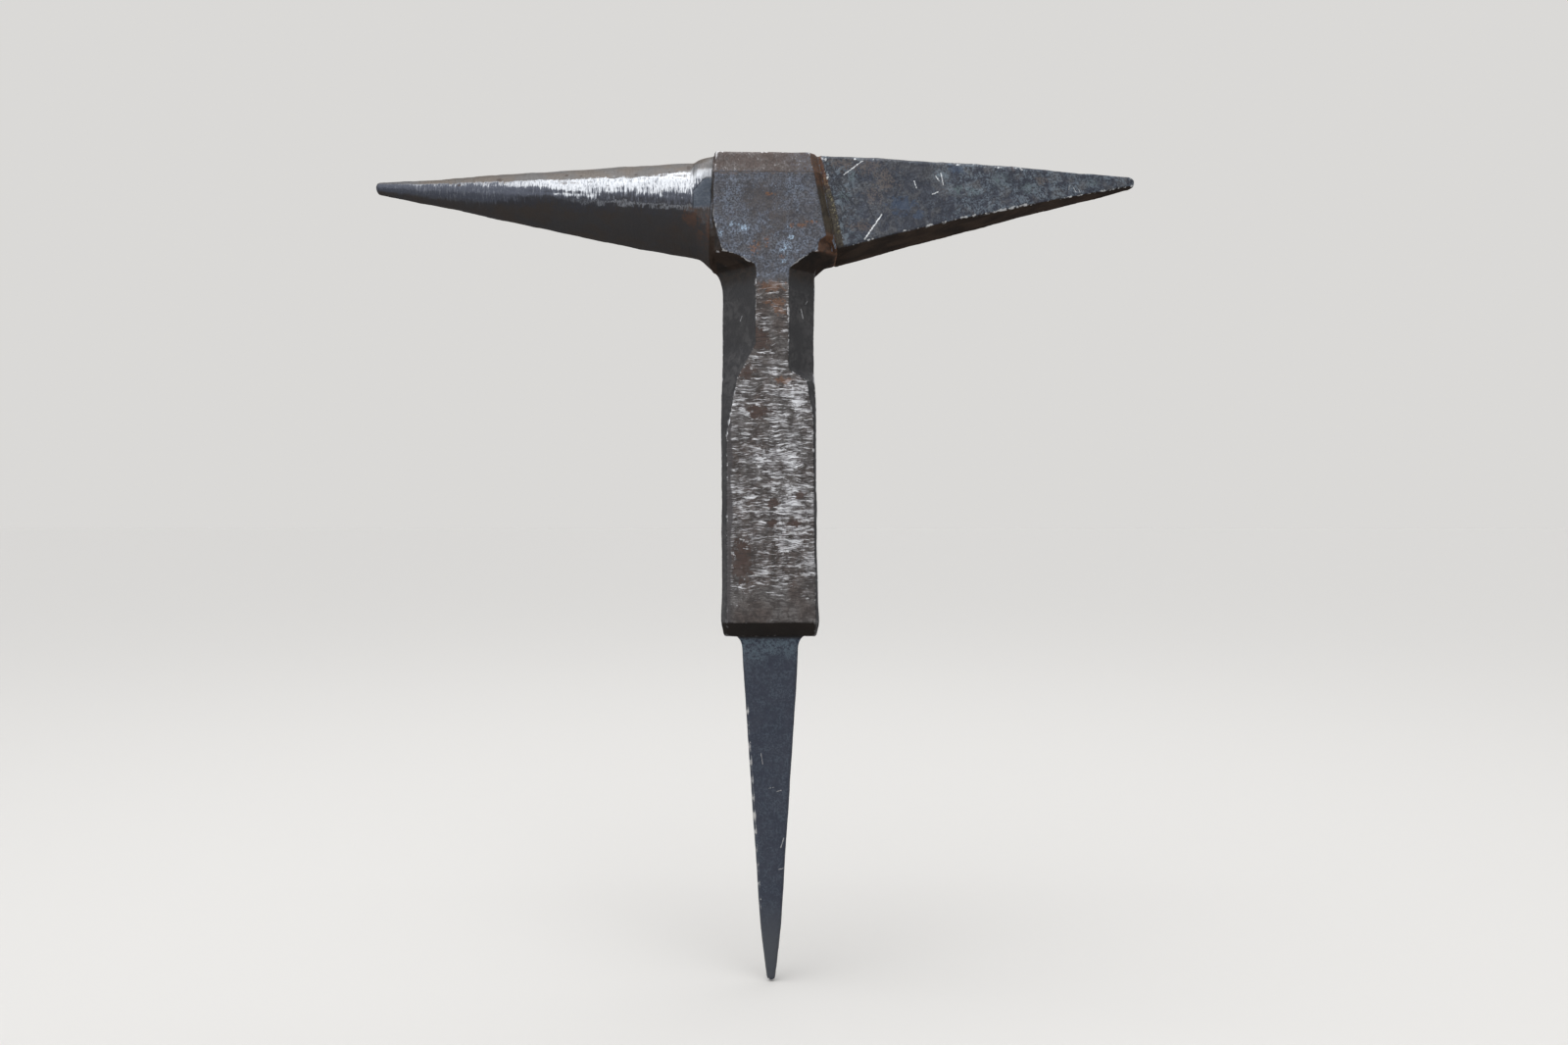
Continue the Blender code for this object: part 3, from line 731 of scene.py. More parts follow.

    # painted shade on the head's undersides, darker in hollows, bare metal on rubbed edges
    # but the bump where the right weld ends stays brown all round
    bump = product(
        tree,
        ramp(tree, made.x, 13.5 * mm, 14.5 * mm),
        ramp(tree, made.z, 121.9 * mm, 122.8 * mm),
        ramp(tree, made.z, 129.0 * mm, 127.8 * mm),
    )
    # painted shade: down-facing faces are coated near-black, except on the bump
    under = product(tree, ramp(tree, made.facing[2], -0.15, -0.6), opposite(tree, bump))
    made.coat(product(tree, under, 0.85), mixColour(tree, scale["Broad"], c["sootAndShade"], c["brownSootAndShade"]), 0.7, 0.0)
    rootSide = product(tree, ramp(tree, made.x, -17.2 * mm, -17.8 * mm), ramp(tree, made.z, 131.5 * mm, 129.5 * mm))
    made.coat(product(tree, rootSide, 0.95), c["brownSootAndShade"], 0.6, 0.0)
    rim = ramp(tree, made.z, forging["rimTop"] + 0.4 * mm, forging["rimTop"] - 0.6 * mm)
    made.coat(product(tree, rim, 0.8), c["sootAndShade"], 0.5, 0.2)
    hollow = wired(tree, "ShaderNodeAttribute", attribute_name="hollow").outputs["Fac"]
    made.coat(product(tree, ramp(tree, hollow, 0.45, 1.2), opposite(tree, bump)), c["sootAndShade"], 0.6, 0.1)
    weldSide = product(tree, ramp(tree, made.x, 12.5 * mm, 13.5 * mm), opposite(tree, face), inHead)
    weldTone = mixColour(tree, ramp(tree, made.z, 140 * mm, 146 * mm), c["weldOlive"], c["weldBrown"])
    weldTone = mixColour(tree, ramp(tree, made.z, 130 * mm, 127 * mm), weldTone, c["weldBrown"])
    weldSide = product(tree, weldSide, opposite(tree, under), ramp(tree, made.z, 119 * mm, 123 * mm))
    made.coat(product(tree, weldSide, ramp(tree, scale["Flakes"], 0.0, 1.0, 0.45, 1.0)), weldTone, 0.6, 0.1)
    worn = useGroup(tree, wornGroup, {"Vector": made.vector, "Amount": 0.50, "Break": 0.5})["Mask"]
    high = ramp(tree, made.z, 4 * mm, 20 * mm, 0.10, 0.85)
    lowEdges = ramp(tree, made.z, 137 * mm, 132 * mm)
    offWeld = ramp(tree, made.x, 15.8 * mm, 15.0 * mm)
    frontal = most(tree, inShank, product(tree, ramp(tree, frontness, 0.35, 0.6), 0.5))
    offRoot = opposite(tree, rootSide)
    made.coat(product(tree, worn, high, lowEdges, offWeld, offRoot, frontal), c["bright"], 0.3, 1.0)
    made.coat(product(tree, scratches(tree, made.vector, neckNicks), 0.7), c["bright"], 0.3, 1.0)
    made.raised(scale["Height"], 0.20 * mm)
    return made.done(0.3)


faceColours = {
    "brown": (0.106, 0.084, 0.078),
    "grey": (0.145, 0.130, 0.128),
    "dark": (0.060, 0.050, 0.048),
    "blue": (0.100, 0.106, 0.130),
    "rust": (0.100, 0.058, 0.044),
    "weldBrown": (0.120, 0.064, 0.038),
    "bright": (0.60, 0.60, 0.62),
}


def faceMaterial():
    made = Surface("brownSteelFace", faceColours["brown"], 0.42, 0.35)
    tree = made.tree
    c = faceColours
    scale = useGroup(tree, scaleGroup, {"Vector": made.vector, "Crumbs": 0.75, "Rusting": 0.5})
    made.coat(scale["Flakes"], c["grey"])
    made.coat(product(tree, opposite(tree, scale["Fine"]), 0.55), c["dark"])
    drift = noise(tree, made.vector, 7 * mm, 3.0, 0.6)
    rightward = ramp(tree, calc(tree, "ADD", made.x, product(tree, drift, 14 * mm)), 9 * mm, 19 * mm)
    made.coat(product(tree, rightward, scale["Fine"], 0.8), c["blue"])
    rising = calc(tree, "ADD", made.z, product(tree, noise(tree, made.vector, 1.6 * mm, 4.0, 0.7), -8 * mm))
    made.coat(product(tree, ramp(tree, rising, plateLine - 3.3 * mm, plateLine - 4.7 * mm), 0.7), c["blue"])
    made.coat(product(tree, scale["Rust"], 0.6), c["rust"], 0.55, 0.2)
    made.coat(product(tree, scale["Pale"], 0.4), c["bright"], 0.35, 0.9)
    weldSide = product(tree, ramp(tree, made.x, 12.2 * mm, 13.2 * mm), ramp(tree, made.facing[0], 0.25, 0.5))
    made.coat(product(tree, weldSide, ramp(tree, scale["Fine"], 0.0, 1.0, 0.3, 1.0)), c["weldBrown"], 0.6, 0.1)
    top = ramp(tree, made.facing[2], 0.8, 0.95)
    polished = mixColour(tree, scale["Broad"], (0.20, 0.18, 0.17), (0.32, 0.31, 0.31))
    made.coat(product(tree, top, 0.75), polished, 0.34, 0.9)
    worn = useGroup(tree, wornGroup, {"Vector": made.vector, "Amount": 0.28, "Break": 0.6})["Mask"]
    made.coat(product(tree, worn, opposite(tree, top), 0.6), c["bright"], 0.3, 1.0)
    made.raised(scale["Height"], 0.16 * mm)
    return made.done(0.3)


finished(headAndShank, headMaterial(), "body_forging")
finished(steelFace, faceMaterial(), "face_plate")


# round horn

roundColours = {
    # near-black tones for dark scale and painted shade on the lower side
    "under": (0.039, 0.038, 0.040),
    "brownScaleAndShade": (0.042, 0.037, 0.035),
    # ground steel tones, painted dark below the band
    "groundWithPaintedLight": (0.060, 0.066, 0.085),
    "groundPaintedDark": (0.036, 0.037, 0.044),
    "steel": (0.480, 0.497, 0.525),
    "steelDull": (0.225, 0.236, 0.258),
    # light grey for painted glints on the grinding ticks
    "tickGlint": (0.200, 0.212, 0.238),
    # tan-grey tones for the painted reflection along the top
    "tanReflection": (0.113, 0.093, 0.078),
    "greyReflection": (0.104, 0.099, 0.097),
    "rust": (0.072, 0.044, 0.034),
    "brown": (0.050, 0.037, 0.032),
    "blue": (0.062, 0.076, 0.100),
    "pit": (0.06, 0.045, 0.04),
}
roundPits = [(-26.0, 150.2, 0.9, 0.9), (-32.5, 148.5, 0.6, 0.5), (-66.0, 148.5, 0.9, 0.5), (-88.0, 147.5, 1.3, 0.9)]
roundPits += [(-52.0, 143.8, 0.8, 0.5), (-61.0, 148.0, 0.5, 0.4), (-43.0, 147.8, 0.6, 0.4), (-101.0, 146.0, 0.8, 0.5)]
rootRust = [(-24.9, 133.2, 3.0, 2.6), (-19.2, 129.0, 1.4, 5.0), (-22.6, 127.5, 1.6, 3.0)]


def roundMaterial():
    made = Surface("groundHorn", roundColours["under"], 0.45, 0.4)
    tree = made.tree
    c = roundColours
    scale = useGroup(tree, scaleGroup, {"Vector": made.vector, "Crumbs": 0.3, "Rusting": 0.4})
    # ticks run round the horn: fine along X, long the other ways
    ticks = noise(tree, stretched(tree, made.vector, (1.0, 0.12, 0.12)), 0.34 * mm, 3.0, 0.6)
    longTicks = noise(tree, stretched(tree, made.vector, (1.0, 0.07, 0.07)), 0.9 * mm, 2.0, 0.5)
    grit = noise(tree, stretched(tree, made.vector, (1.0, 0.35, 0.35)), 0.4 * mm, 3.0, 0.65)
    upness = made.facing[2]
    jag = calc(
        tree,
        "ADD",
        product(tree, calc(tree, "SUBTRACT", ticks, 0.5), 0.7),
        product(tree, calc(tree, "SUBTRACT", longTicks, 0.5), 0.25),
    )
    drift = product(tree, calc(tree, "SUBTRACT", noise(tree, made.vector, 14 * mm, 2.0), 0.5), 0.5)
    line = calc(tree, "ADD", upness, calc(tree, "ADD", jag, drift))

    # dark scale with painted shade below, ground steel above it painted dark, a polished band carrying a painted
    # highlight and a dull strip along the top whose tan-grey is a painted reflection
    made.coat(scale["Broad"], c["brownScaleAndShade"])
    groundEnd = ramp(tree, made.x, -66 * mm, -112 * mm, -0.20, -0.78)
    groundLine = calc(tree, "SUBTRACT", line, groundEnd)
    # painted shade: ground steel below the band is coated dark, a painted dark reflection
    made.coat(ramp(tree, groundLine, -0.25, 0.05), c["groundPaintedDark"], 0.42, 0.5)
    made.coat(ramp(tree, groundLine, 0.06, 0.26), c["groundWithPaintedLight"], 0.40, 0.7)
    # a faint painted highlight line, a second one, where the flat below the band begins
    secondHighlightLine = calc(tree, "ADD", upness, product(tree, jag, 0.25))
    secondHighlight = product(tree, ramp(tree, secondHighlightLine, -0.24, -0.19), ramp(tree, secondHighlightLine, -0.10, -0.15))
    secondHighlightPlace = product(tree, ramp(tree, made.x, -72 * mm, -46 * mm), ramp(tree, grit, 0.36, 0.58))
    made.coat(product(tree, secondHighlight, secondHighlightPlace, 0.85), c["tickGlint"], 0.36, 0.9)
    # painted glints on the grinding ticks along the grind line
    lowTickGlints = product(tree, ramp(tree, jag, 0.05, 0.16), ramp(tree, groundLine, 0.05, 0.3))
    made.coat(product(tree, lowTickGlints, 0.55), c["tickGlint"], 0.38, 0.9)
    # polished steel band, placed and faded towards the tip where the highlight falls: real polish with a painted
    # highlight
    bandLow = ramp(tree, made.x, -30 * mm, -60 * mm, 0.10, 0.03)
    bandLow = calc(tree, "ADD", bandLow, ramp(tree, made.x, -62 * mm, -92 * mm, 0.0, 0.36))
    bandLine = calc(tree, "SUBTRACT", line, bandLow)
    bandStrength = ramp(tree, made.x, -116 * mm, -60 * mm, 0.40, 0.95)
    groundWithPaintedLight = product(tree, ramp(tree, bandLine, -0.02, 0.14), bandStrength)
    glintStreaks = calc(tree, "ADD", product(tree, grit, 0.5), product(tree, ticks, 0.5))
    made.coat(groundWithPaintedLight, mixColour(tree, ramp(tree, glintStreaks, 0.40, 0.54), c["steelDull"], c["steel"]), 0.32, 1.0)
    # painted glints on grit streaks over the ground steel
    bright = product(tree, ramp(tree, grit, 0.56, 0.66), ramp(tree, groundLine, 0.1, 0.3))
    made.coat(product(tree, bright, 0.30), c["tickGlint"], 0.38, 0.9)
    # painted reflection: a dull strip along the top is coated tan-grey
    topReflectionLow = ramp(tree, made.x, -30 * mm, -60 * mm, 0.52, 0.47)
    topReflectionLine = calc(tree, "SUBTRACT", calc(tree, "ADD", upness, product(tree, drift, 0.4)), topReflectionLow)
    topReflection = ramp(tree, calc(tree, "ADD", topReflectionLine, product(tree, jag, 0.4)), -0.03, 0.07)
    topReflectionTone = mixColour(tree, scale["Broad"], c["tanReflection"], c["greyReflection"])
    made.coat(product(tree, topReflection, 0.96), topReflectionTone, 0.48, 0.35)
    pits = product(tree, blots(tree, made.vector, roundPits, 0.35), ramp(tree, upness, 0.2, 0.4))
    made.coat(product(tree, pits, 0.8), c["pit"], 0.6, 0.3)
    specks = ramp(tree, noise(tree, made.vector, 0.9 * mm, 2.0), 0.66, 0.72)
    made.coat(product(tree, specks, groundWithPaintedLight, 0.7), c["pit"], 0.5, 0.4)
    made.coat(ramp(tree, made.x, -112 * mm, -127 * mm, 0.0, 0.6), c["groundWithPaintedLight"], 0.42, 0.6)

    # the root beside the head is left as forged: a blue facet, brown below it
    above = calc(tree, "MAXIMUM", calc(tree, "SUBTRACT", made.z, 141.6 * mm), 0.0)
    slant = calc(tree, "SUBTRACT", made.x, product(tree, above, 0.9))
    slantLine = calc(tree, "ADD", slant, product(tree, jag, 1.0 * mm))
    facet = product(
        tree,
        ramp(tree, slantLine, -24.6 * mm, -24.0 * mm),
        ramp(tree, made.z, 146.2 * mm, 145.4 * mm),
        ramp(tree, made.z, 135.8 * mm, 136.8 * mm),
    )
    # on the flare: the painted reflection of the top strip, then a band of polished steel that carries the painted
    # highlight on to it
    flare = product(tree, ramp(tree, made.x, -29 * mm, -21 * mm), ramp(tree, made.z, 146.8 * mm, 149.0 * mm))
    made.coat(product(tree, flare, 0.85), topReflectionTone, 0.5, 0.3)
    flareLine = calc(tree, "ADD", made.z, product(tree, jag, 2 * mm))
    flareHighlight = product(
        tree,
        ramp(tree, made.x, -29 * mm, -23 * mm),
        ramp(tree, flareLine, 145.0 * mm, 145.8 * mm),
        ramp(tree, flareLine, 149.4 * mm, 148.0 * mm),
    )
    made.coat(product(tree, flareHighlight, 0.6), c["steel"], 0.35, 1.0)
    facetTone = mixColour(tree, product(tree, scale["Flakes"], scale["Fine"]), c["blue"], (0.10, 0.115, 0.14))
    made.coat(product(tree, facet, 0.95), facetTone, 0.42, 0.3)
    brownLine = calc(tree, "ADD", made.z, product(tree, jag, 6 * mm))
    low = ramp(tree, brownLine, 137.4 * mm, 135.4 * mm)
    nearHead = ramp(tree, calc(tree, "ADD", made.x, product(tree, scale["Broad"], 8 * mm)), -34 * mm, -22 * mm)
    made.coat(product(tree, low, nearHead, 0.85), mixColour(tree, scale["Flakes"], c["under"], c["brown"]), 0.55, 0.15)
    frontOnly = ramp(tree, made.facing[1], -0.3, -0.6)
    made.coat(product(tree, blots(tree, made.vector, rootRust, 0.45), frontOnly, 0.8), c["rust"], 0.6, 0.1)
    # painted shade: the horn's down-facing side is coated near-black
    underTone = mixColour(tree, scale["Broad"], c["under"], c["brownScaleAndShade"])
    made.coat(product(tree, ramp(tree, upness, -0.3, -0.7), 0.9), underTone, 0.6, 0.0)
    hollow = wired(tree, "ShaderNodeAttribute", attribute_name="hollow").outputs["Fac"]
    made.coat(ramp(tree, hollow, 0.45, 1.0), c["under"], 0.6, 0.1)
    worn = useGroup(tree, wornGroup, {"Vector": made.vector, "Amount": 0.45, "Break": 0.5})["Mask"]
    wornPlace = product(tree, ramp(tree, upness, -0.4, 0.2), ramp(tree, made.x, -110 * mm, -100 * mm), ramp(tree, made.x, -23 * mm, -27 * mm))
    made.coat(product(tree, worn, wornPlace, opposite(tree, flare), 0.4), c["steel"], 0.3, 1.0)
    made.raised(product(tree, ticks, opposite(tree, facet)), 0.12 * mm)
    made.raised(product(tree, longTicks, opposite(tree, facet)), 0.14 * mm)
    made.raised(scale["Height"], 0.05 * mm)
    return made.done(0.3)


finished(roundHorn, roundMaterial(), "round_horn")


# square horn

squareColours = {
    "blueBlack": (0.048, 0.054, 0.074),
    "grey": (0.104, 0.106, 0.116),
    "dark": (0.028, 0.031, 0.040),
    "brown": (0.105, 0.086, 0.078),
    "pale": (0.165, 0.205, 0.245),
    "teal": (0.125, 0.165, 0.172),
    # near-black tones for painted shade on the undersides
    "under": (0.020, 0.016, 0.014),
    "underBrown": (0.034, 0.025, 0.020),
    "bright": (0.62, 0.64, 0.66),
    "rust": (0.080, 0.040, 0.033),
    "groove": (0.040, 0.033, 0.026),
    "orange": (0.170, 0.085, 0.042),
    "crust": (0.072, 0.060, 0.040),
    "crumb": (0.200, 0.180, 0.110),
    "blue": (0.045, 0.072, 0.125),
}
palePlaces = [(55.0, 147.5, 4.0, 3.0), (62.0, 143.0, 10.0, 2.6), (74.0, 146.5, 4.0, 3.4), (84.0, 144.5, 4.0, 2.6)]
palePlaces += [(104.0, 147.0, 5.0, 1.6), (24.0, 142.0, 3.0, 5.0), (26.0, 147.0, 2.0, 3.0)]
brownPlaces = [(23.0, 150.5, 5.0, 2.5), (31.0, 150.0, 6.0, 2.5), (37.0, 146.0, 4.0, 4.0)]
brownPlaces += [(88.0, 147.0, 2.2, 1.6), (33.0, 141.0, 3.0, 3.5), (28.0, 131.0, 5.0, 2.0)]
dentLines = [(20.0, 149.0, 24.5, 141.5, 0.55), (22.0, 143.0, 28.0, 137.0, 0.40), (24.0, 136.0, 21.5, 131.0, 0.40)]
dentLines += [(30.0, 140.0, 33.0, 134.0, 0.35), (27.0, 147.0, 30.0, 143.5, 0.35)]
bluePlaces = [(47.5, 135.0, 1.6, 1.8), (42.0, 138.0, 5.0, 3.0), (60.0, 150.0, 3.0, 1.6)]
hornScratches = [
    (23.6, 147.4, 29.5, 151.8, 0.20),
    (35.8, 134.8, 30.3, 126.9, 0.26),
    (46.2, 145.6, 46.9, 143.6, 0.20),
    (54.8, 148.4, 55.6, 144.4, 0.18),
    (53.2, 147.4, 54.2, 145.8, 0.14),
    (52.0, 141.5, 53.8, 142.3, 0.20),
    (97.2, 145.6, 97.0, 144.4, 0.12),
    (98.6, 145.2, 99.4, 143.8, 0.14),
    (100.4, 144.6, 100.8, 143.6, 0.12),
]


def squareMaterial():
    made = Surface("scaledHorn", squareColours["blueBlack"], 0.42, 0.35)
    tree = made.tree
    c = squareColours
    scale = useGroup(tree, scaleGroup, {"Vector": made.vector, "Crumbs": 0.42, "Rusting": 0.4})
    clouds = noise(tree, made.vector, 5.5 * mm, 5.0, 0.7, 0.8)
    made.coat(ramp(tree, clouds, 0.44, 0.60), c["grey"], 0.46)
    made.coat(product(tree, opposite(tree, scale["Fine"]), 0.6), c["dark"])
    made.coat(product(tree, ramp(tree, made.x, 32 * mm, 40 * mm), ramp(tree, made.x, 58 * mm, 50 * mm), 0.35), c["dark"])
    nearRoot = ramp(tree, made.x, 34 * mm, 22 * mm)
    made.coat(product(tree, nearRoot, opposite(tree, scale["Flakes"]), 0.7), c["dark"])
    crackle = noise(tree, made.vector, 1.8 * mm, 5.0, 0.7, 0.8)
    made.coat(product(tree, nearRoot, ramp(tree, crackle, 0.50, 0.60), 0.6), c["pale"], 0.4, 0.5)
    made.coat(product(tree, nearRoot, ramp(tree, crackle, 0.44, 0.38), 0.8), c["dark"], 0.5, 0.2)
    outward = ramp(tree, made.x, 50 * mm, 64 * mm, 0.14, 0.68)
    made.coat(product(tree, scale["Flakes"], scale["Fine"], outward), c["pale"])
    made.coat(product(tree, blots(tree, made.vector, bluePlaces, 0.45), 0.5), c["blue"], 0.38)
    made.coat(product(tree, blots(tree, made.vector, brownPlaces, 0.45), scale["Fine"], 0.75), c["brown"], 0.5, 0.3)
    speckled = ramp(tree, noise(tree, made.vector, 1.5 * mm, 5.0, 0.75), 0.44, 0.58)
    paleMask = product(tree, blots(tree, made.vector, palePlaces, 0.5), speckled)
    made.coat(product(tree, paleMask, 0.9), mixColour(tree, ramp(tree, clouds, 0.4, 0.6), c["teal"], c["pale"]), 0.4, 0.5)
    made.coat(product(tree, scale["Rust"], 0.4), c["rust"], 0.6, 0.1)
    made.coat(product(tree, scale["Pale"], 0.35), c["pale"], 0.4, 0.6)

    # crusty weld beside the head, orange at the top and olive below
    point, normal = rightSeam
    along = calc(tree, "SUBTRACT", made.x, point.x)
    rising = calc(tree, "SUBTRACT", made.z, point.z)
    away = calc(tree, "ADD", product(tree, along, normal.x), product(tree, rising, normal.z))
    drop = calc(tree, "SUBTRACT", workFace, made.z)
    crustNoise = noise(tree, made.vector, 1.0 * mm, 4.0, 0.7)
    crustWide = ramp(tree, drop, 1 * mm, 20 * mm, 1.3 * mm, 2.7 * mm)
    crustLine = calc(tree, "SUBTRACT", crustWide, calc(tree, "ADD", away, product(tree, calc(tree, "SUBTRACT", crustNoise, 0.5), 2.4 * mm)))
    crust = ramp(tree, crustLine, -0.2 * mm, 0.4 * mm)
    crumbEdge = product(tree, crust, ramp(tree, crustLine, 1.6 * mm, 0.6 * mm), ramp(tree, crustNoise, 0.50, 0.60))
    olive = mixColour(tree, ramp(tree, crustNoise, 0.40, 0.62), c["groove"], c["crust"])
    rusty = mixColour(tree, ramp(tree, crustNoise, 0.38, 0.60), c["rust"], c["orange"])
    made.coat(product(tree, crust, 0.9), mixColour(tree, ramp(tree, drop, 7 * mm, 13 * mm), rusty, olive), 0.65, 0.1)
    made.coat(product(tree, crumbEdge, ramp(tree, drop, 5 * mm, 12 * mm), 0.8), c["crumb"], 0.6, 0.2)
    weldEnd = product(tree, ramp(tree, away, 3.0 * mm, 1.5 * mm), ramp(tree, drop, 25 * mm, 28 * mm))
    made.coat(product(tree, weldEnd, 0.7), c["groove"], 0.6, 0.1)
    belowWeld = product(tree, ramp(tree, away, 4.5 * mm, 3.5 * mm), ramp(tree, drop, 28.5 * mm, 30 * mm))
    made.coat(product(tree, belowWeld, 0.95), c["under"], 0.7, 0.0)

    # painted shade: down-facing faces of the horn are coated near-black
    under = ramp(tree, made.facing[2], -0.25, -0.6)
    made.coat(product(tree, under, 0.98), mixColour(tree, scale["Broad"], c["under"], c["underBrown"]), 0.7, 0.0)
    hollow = wired(tree, "ShaderNodeAttribute", attribute_name="hollow").outputs["Fac"]
    made.coat(ramp(tree, hollow, 0.6, 1.4), c["under"], 0.6, 0.1)
    amount = ramp(tree, made.facing[2], 0.3, -0.1, 0.28, 0.42)
    along = ramp(tree, made.x, 40 * mm, 54 * mm, 0.0, 0.12)
    fading = ramp(tree, made.x, 78 * mm, 92 * mm, 0.0, 0.24)
    amount = calc(tree, "ADD", amount, calc(tree, "SUBTRACT", along, fading))
    worn = useGroup(tree, wornGroup, {"Vector": made.vector, "Amount": amount, "Break": 0.32})["Mask"]
    onEdge = ramp(tree, made.facing[2], -0.80, -0.55)
    made.coat(product(tree, worn, opposite(tree, crust), onEdge, 0.7), c["bright"], 0.3, 1.0)
    front = ramp(tree, made.facing[1], -0.6, -0.8)
    made.coat(product(tree, scratches(tree, made.vector, dentLines), front, 0.75), c["dark"], 0.5, 0.2)
    made.coat(product(tree, scratches(tree, made.vector, hornScratches), front, 0.9), c["bright"], 0.3, 1.0)
    made.raised(scale["Height"], 0.16 * mm)
    made.raised(clouds, 0.20 * mm)
    made.raised(product(tree, nearRoot, crackle), 0.6 * mm)
    return made.done(0.3)


finished(squareHorn, squareMaterial(), "square_horn")


# spike

spikeShape = {
    "voxel": 0.36 * mm,
    "softening": 5,
    "dentSizes": (20 * mm, 5 * mm),
    "dentDepths": (0.45 * mm, 0.12 * mm),
    "lean": 0.2 * mm,  # how far the point stands towards the square horn
    "edgePasses": 18,
    "edgeHeight": 0.165 * mm,
}


def shapeSpike():
    spike = copyOfNode("stake_spike", "stake_spike_forged")
    forgedSkin(spike, spikeShape["voxel"], spikeShape["softening"])
    textures = [
        cloudTexture("spikeWaves", spikeShape["dentSizes"][0], 1),
        cloudTexture("spikeDents", spikeShape["dentSizes"][1], 1),
    ]
    hammered(spike, textures, spikeShape["dentDepths"])
    for vertex in spike.data.vertices:
        share = min(vertex.co.z, 0.0) / spikeTip
        vertex.co.x += spikeShape["lean"] * share
    markEdges(spike, spikeShape["edgePasses"], spikeShape["edgeHeight"])
    return spike


spikeColours = {
    "slate": (0.034, 0.040, 0.060),
    "slateLight": (0.042, 0.048, 0.068),
    "slateDark": (0.025, 0.030, 0.044),
    "teal": (0.080, 0.108, 0.136),
    "bright": (0.62, 0.62, 0.62),
    "point": (0.060, 0.066, 0.078),
    "sootAndShade": (0.022, 0.021, 0.022),
}
spikeScratches = [(-0.5, -50.0, 1.3, -49.6, 0.12), (2.2, -51.0, 3.6, -50.6, 0.14), (3.4, -69.5, 4.4, -66.5, 0.18)]
spikeScratches += [(2.6, -76.8, 4.4, -76.4, 0.16), (-3.0, -38.5, -2.4, -42.0, 0.12)]


def spikeMaterial():
    made = Surface("slateSpike", spikeColours["slate"], 0.42, 0.4)
    tree = made.tree
    c = spikeColours
    scale = useGroup(tree, scaleGroup, {"Vector": made.vector, "Crumbs": 0.1, "Rusting": 0.1})
    made.coat(scale["Broad"], c["slateLight"], 0.46)
    made.coat(product(tree, opposite(tree, scale["Fine"]), 0.5), c["slateDark"])
    made.coat(product(tree, scale["Flakes"], scale["Fine"], 0.34), c["teal"])
    band = ramp(tree, calc(tree, "ADD", made.z, product(tree, scale["Broad"], 3 * mm)), -8.5 * mm, -4.0 * mm)
    crumbs = ramp(tree, noise(tree, made.vector, 1.2 * mm, 3.0, 0.7), 0.35, 0.65)
    made.coat(product(tree, band, crumbs, 0.95), c["teal"], 0.5)
    made.coat(ramp(tree, made.z, -1.6 * mm, -0.4 * mm), c["sootAndShade"], 0.5, 0.2)
    made.coat(ramp(tree, made.z, spikeTip + 32 * mm, spikeTip + 10 * mm), c["point"])
    # worn bare edges, more of them on the left-facing side: wear, and a painted highlight where the light falls
    leftward = ramp(tree, made.facing[0], 0.2, -0.3, 0.42, 0.60)
    middle = ramp(tree, made.z, -12 * mm, -26 * mm, -0.3, 0.0)
    lower = ramp(tree, made.z, -84 * mm, -98 * mm, 0.0, -0.3)
    amount = calc(tree, "ADD", leftward, calc(tree, "ADD", middle, lower))
    worn = useGroup(tree, wornGroup, {"Vector": made.vector, "Amount": amount, "Break": 0.25})["Mask"]
    made.coat(product(tree, worn, 0.75), c["bright"], 0.32, 1.0)
    front = ramp(tree, made.facing[1], -0.6, -0.8)
    made.coat(product(tree, scratches(tree, made.vector, spikeScratches), front, 0.5), c["bright"], 0.35, 1.0)
    made.raised(scale["Height"], 0.04 * mm)
    return made.done(0.35)


finished(shapeSpike(), spikeMaterial(), "stake_spike")


# floor, light and camera

studio = {
    "floorSize": 60.0,
    "floorTone": (0.70, 0.69, 0.675),
    "backTone": (0.703, 0.694, 0.679),
    "ambient": 0.18,
    "keyFrom": (-0.35, -0.75, 1.0),
    "keyPower": 3.0,
    "keyAngle": math.radians(90),
    "fillFrom": (0.5, 0.9, 0.45),
    "fillPower": 0.7,
    "softboxPlace": (-0.02, 0.03, 0.85),
    "softboxSize": 0.62,
    "softboxPower": 2.2,
    "cameraPlace": (4.48 * mm, -394 * mm, 36.3 * mm),
    "lens": 27.43,
    "sensor": 36.0,
}


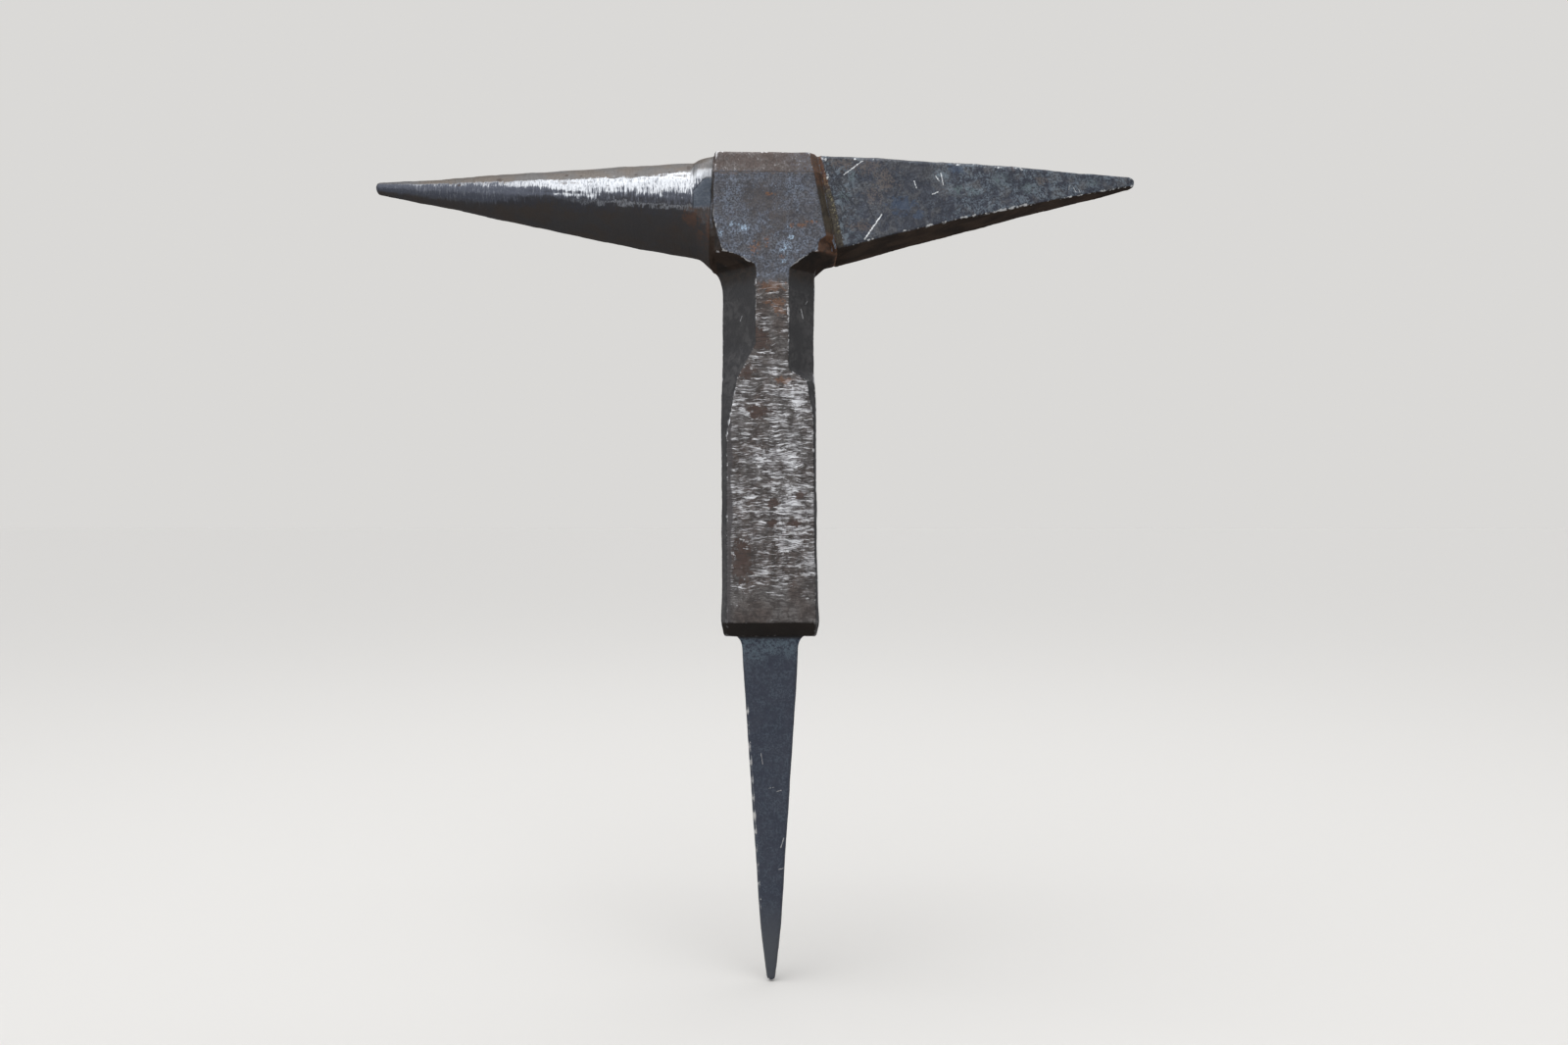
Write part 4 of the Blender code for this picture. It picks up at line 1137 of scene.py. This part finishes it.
def makeFloor():
    bpy.ops.mesh.primitive_plane_add(size=studio["floorSize"], location=(0, 0, spikeTip - 0.5 * mm))
    floor = bpy.context.object
    floor.name = "studio_floor"
    selectOnly(floor)
    bpy.ops.object.transform_apply(location=True)
    material = bpy.data.materials.new("palePaper")
    material.use_nodes = True
    shader = material.node_tree.nodes["Principled BSDF"]
    shader.inputs["Base Color"].default_value = (*studio["floorTone"], 1.0)
    shader.inputs["Roughness"].default_value = 0.9
    shader.inputs["Specular IOR Level"].default_value = 0.1
    floor.data.materials.append(material)


def makeWorld():
    world = bpy.data.worlds.new("studioAir")
    world.use_nodes = True
    bpy.context.scene.world = world
    tree = world.node_tree
    back = tree.nodes["Background"]
    tone = tree.nodes.new("ShaderNodeLightPath").outputs["Is Camera Ray"]
    grey = (studio["ambient"],) * 3
    tree.links.new(mixColour(tree, tone, grey, studio["backTone"]), back.inputs["Color"])


def makeLights():
    sun = bpy.data.lights.new("windowLight", "SUN")
    sun.energy = studio["keyPower"]
    sun.angle = studio["keyAngle"]
    sunObject = bpy.data.objects.new("windowLight", sun)
    sunObject.rotation_euler = Vector(studio["keyFrom"]).to_track_quat("Z", "Y").to_euler()
    bpy.context.scene.collection.objects.link(sunObject)
    fill = bpy.data.lights.new("backFill", "SUN")
    fill.energy = studio["fillPower"]
    fill.angle = studio["keyAngle"]
    fillObject = bpy.data.objects.new("backFill", fill)
    fillObject.rotation_euler = Vector(studio["fillFrom"]).to_track_quat("Z", "Y").to_euler()
    bpy.context.scene.collection.objects.link(fillObject)
    box = bpy.data.lights.new("topSoftbox", "AREA")
    box.size = studio["softboxSize"]
    box.energy = studio["softboxPower"]
    boxObject = bpy.data.objects.new("topSoftbox", box)
    boxObject.location = studio["softboxPlace"]
    bpy.context.scene.collection.objects.link(boxObject)


def makeCamera():
    camera = bpy.data.cameras.new("benchCamera")
    camera.lens = studio["lens"]
    camera.sensor_width = studio["sensor"]
    camera.clip_start = 0.01
    camera.clip_end = 100.0
    cameraObject = bpy.data.objects.new("benchCamera", camera)
    cameraObject.location = studio["cameraPlace"]
    cameraObject.rotation_euler = (math.radians(90), 0.0, 0.0)
    bpy.context.scene.collection.objects.link(cameraObject)
    bpy.context.scene.camera = cameraObject


makeFloor()
makeWorld()
makeLights()
makeCamera()
bpy.context.scene.view_settings.view_transform = "Standard"
print("studio ready")
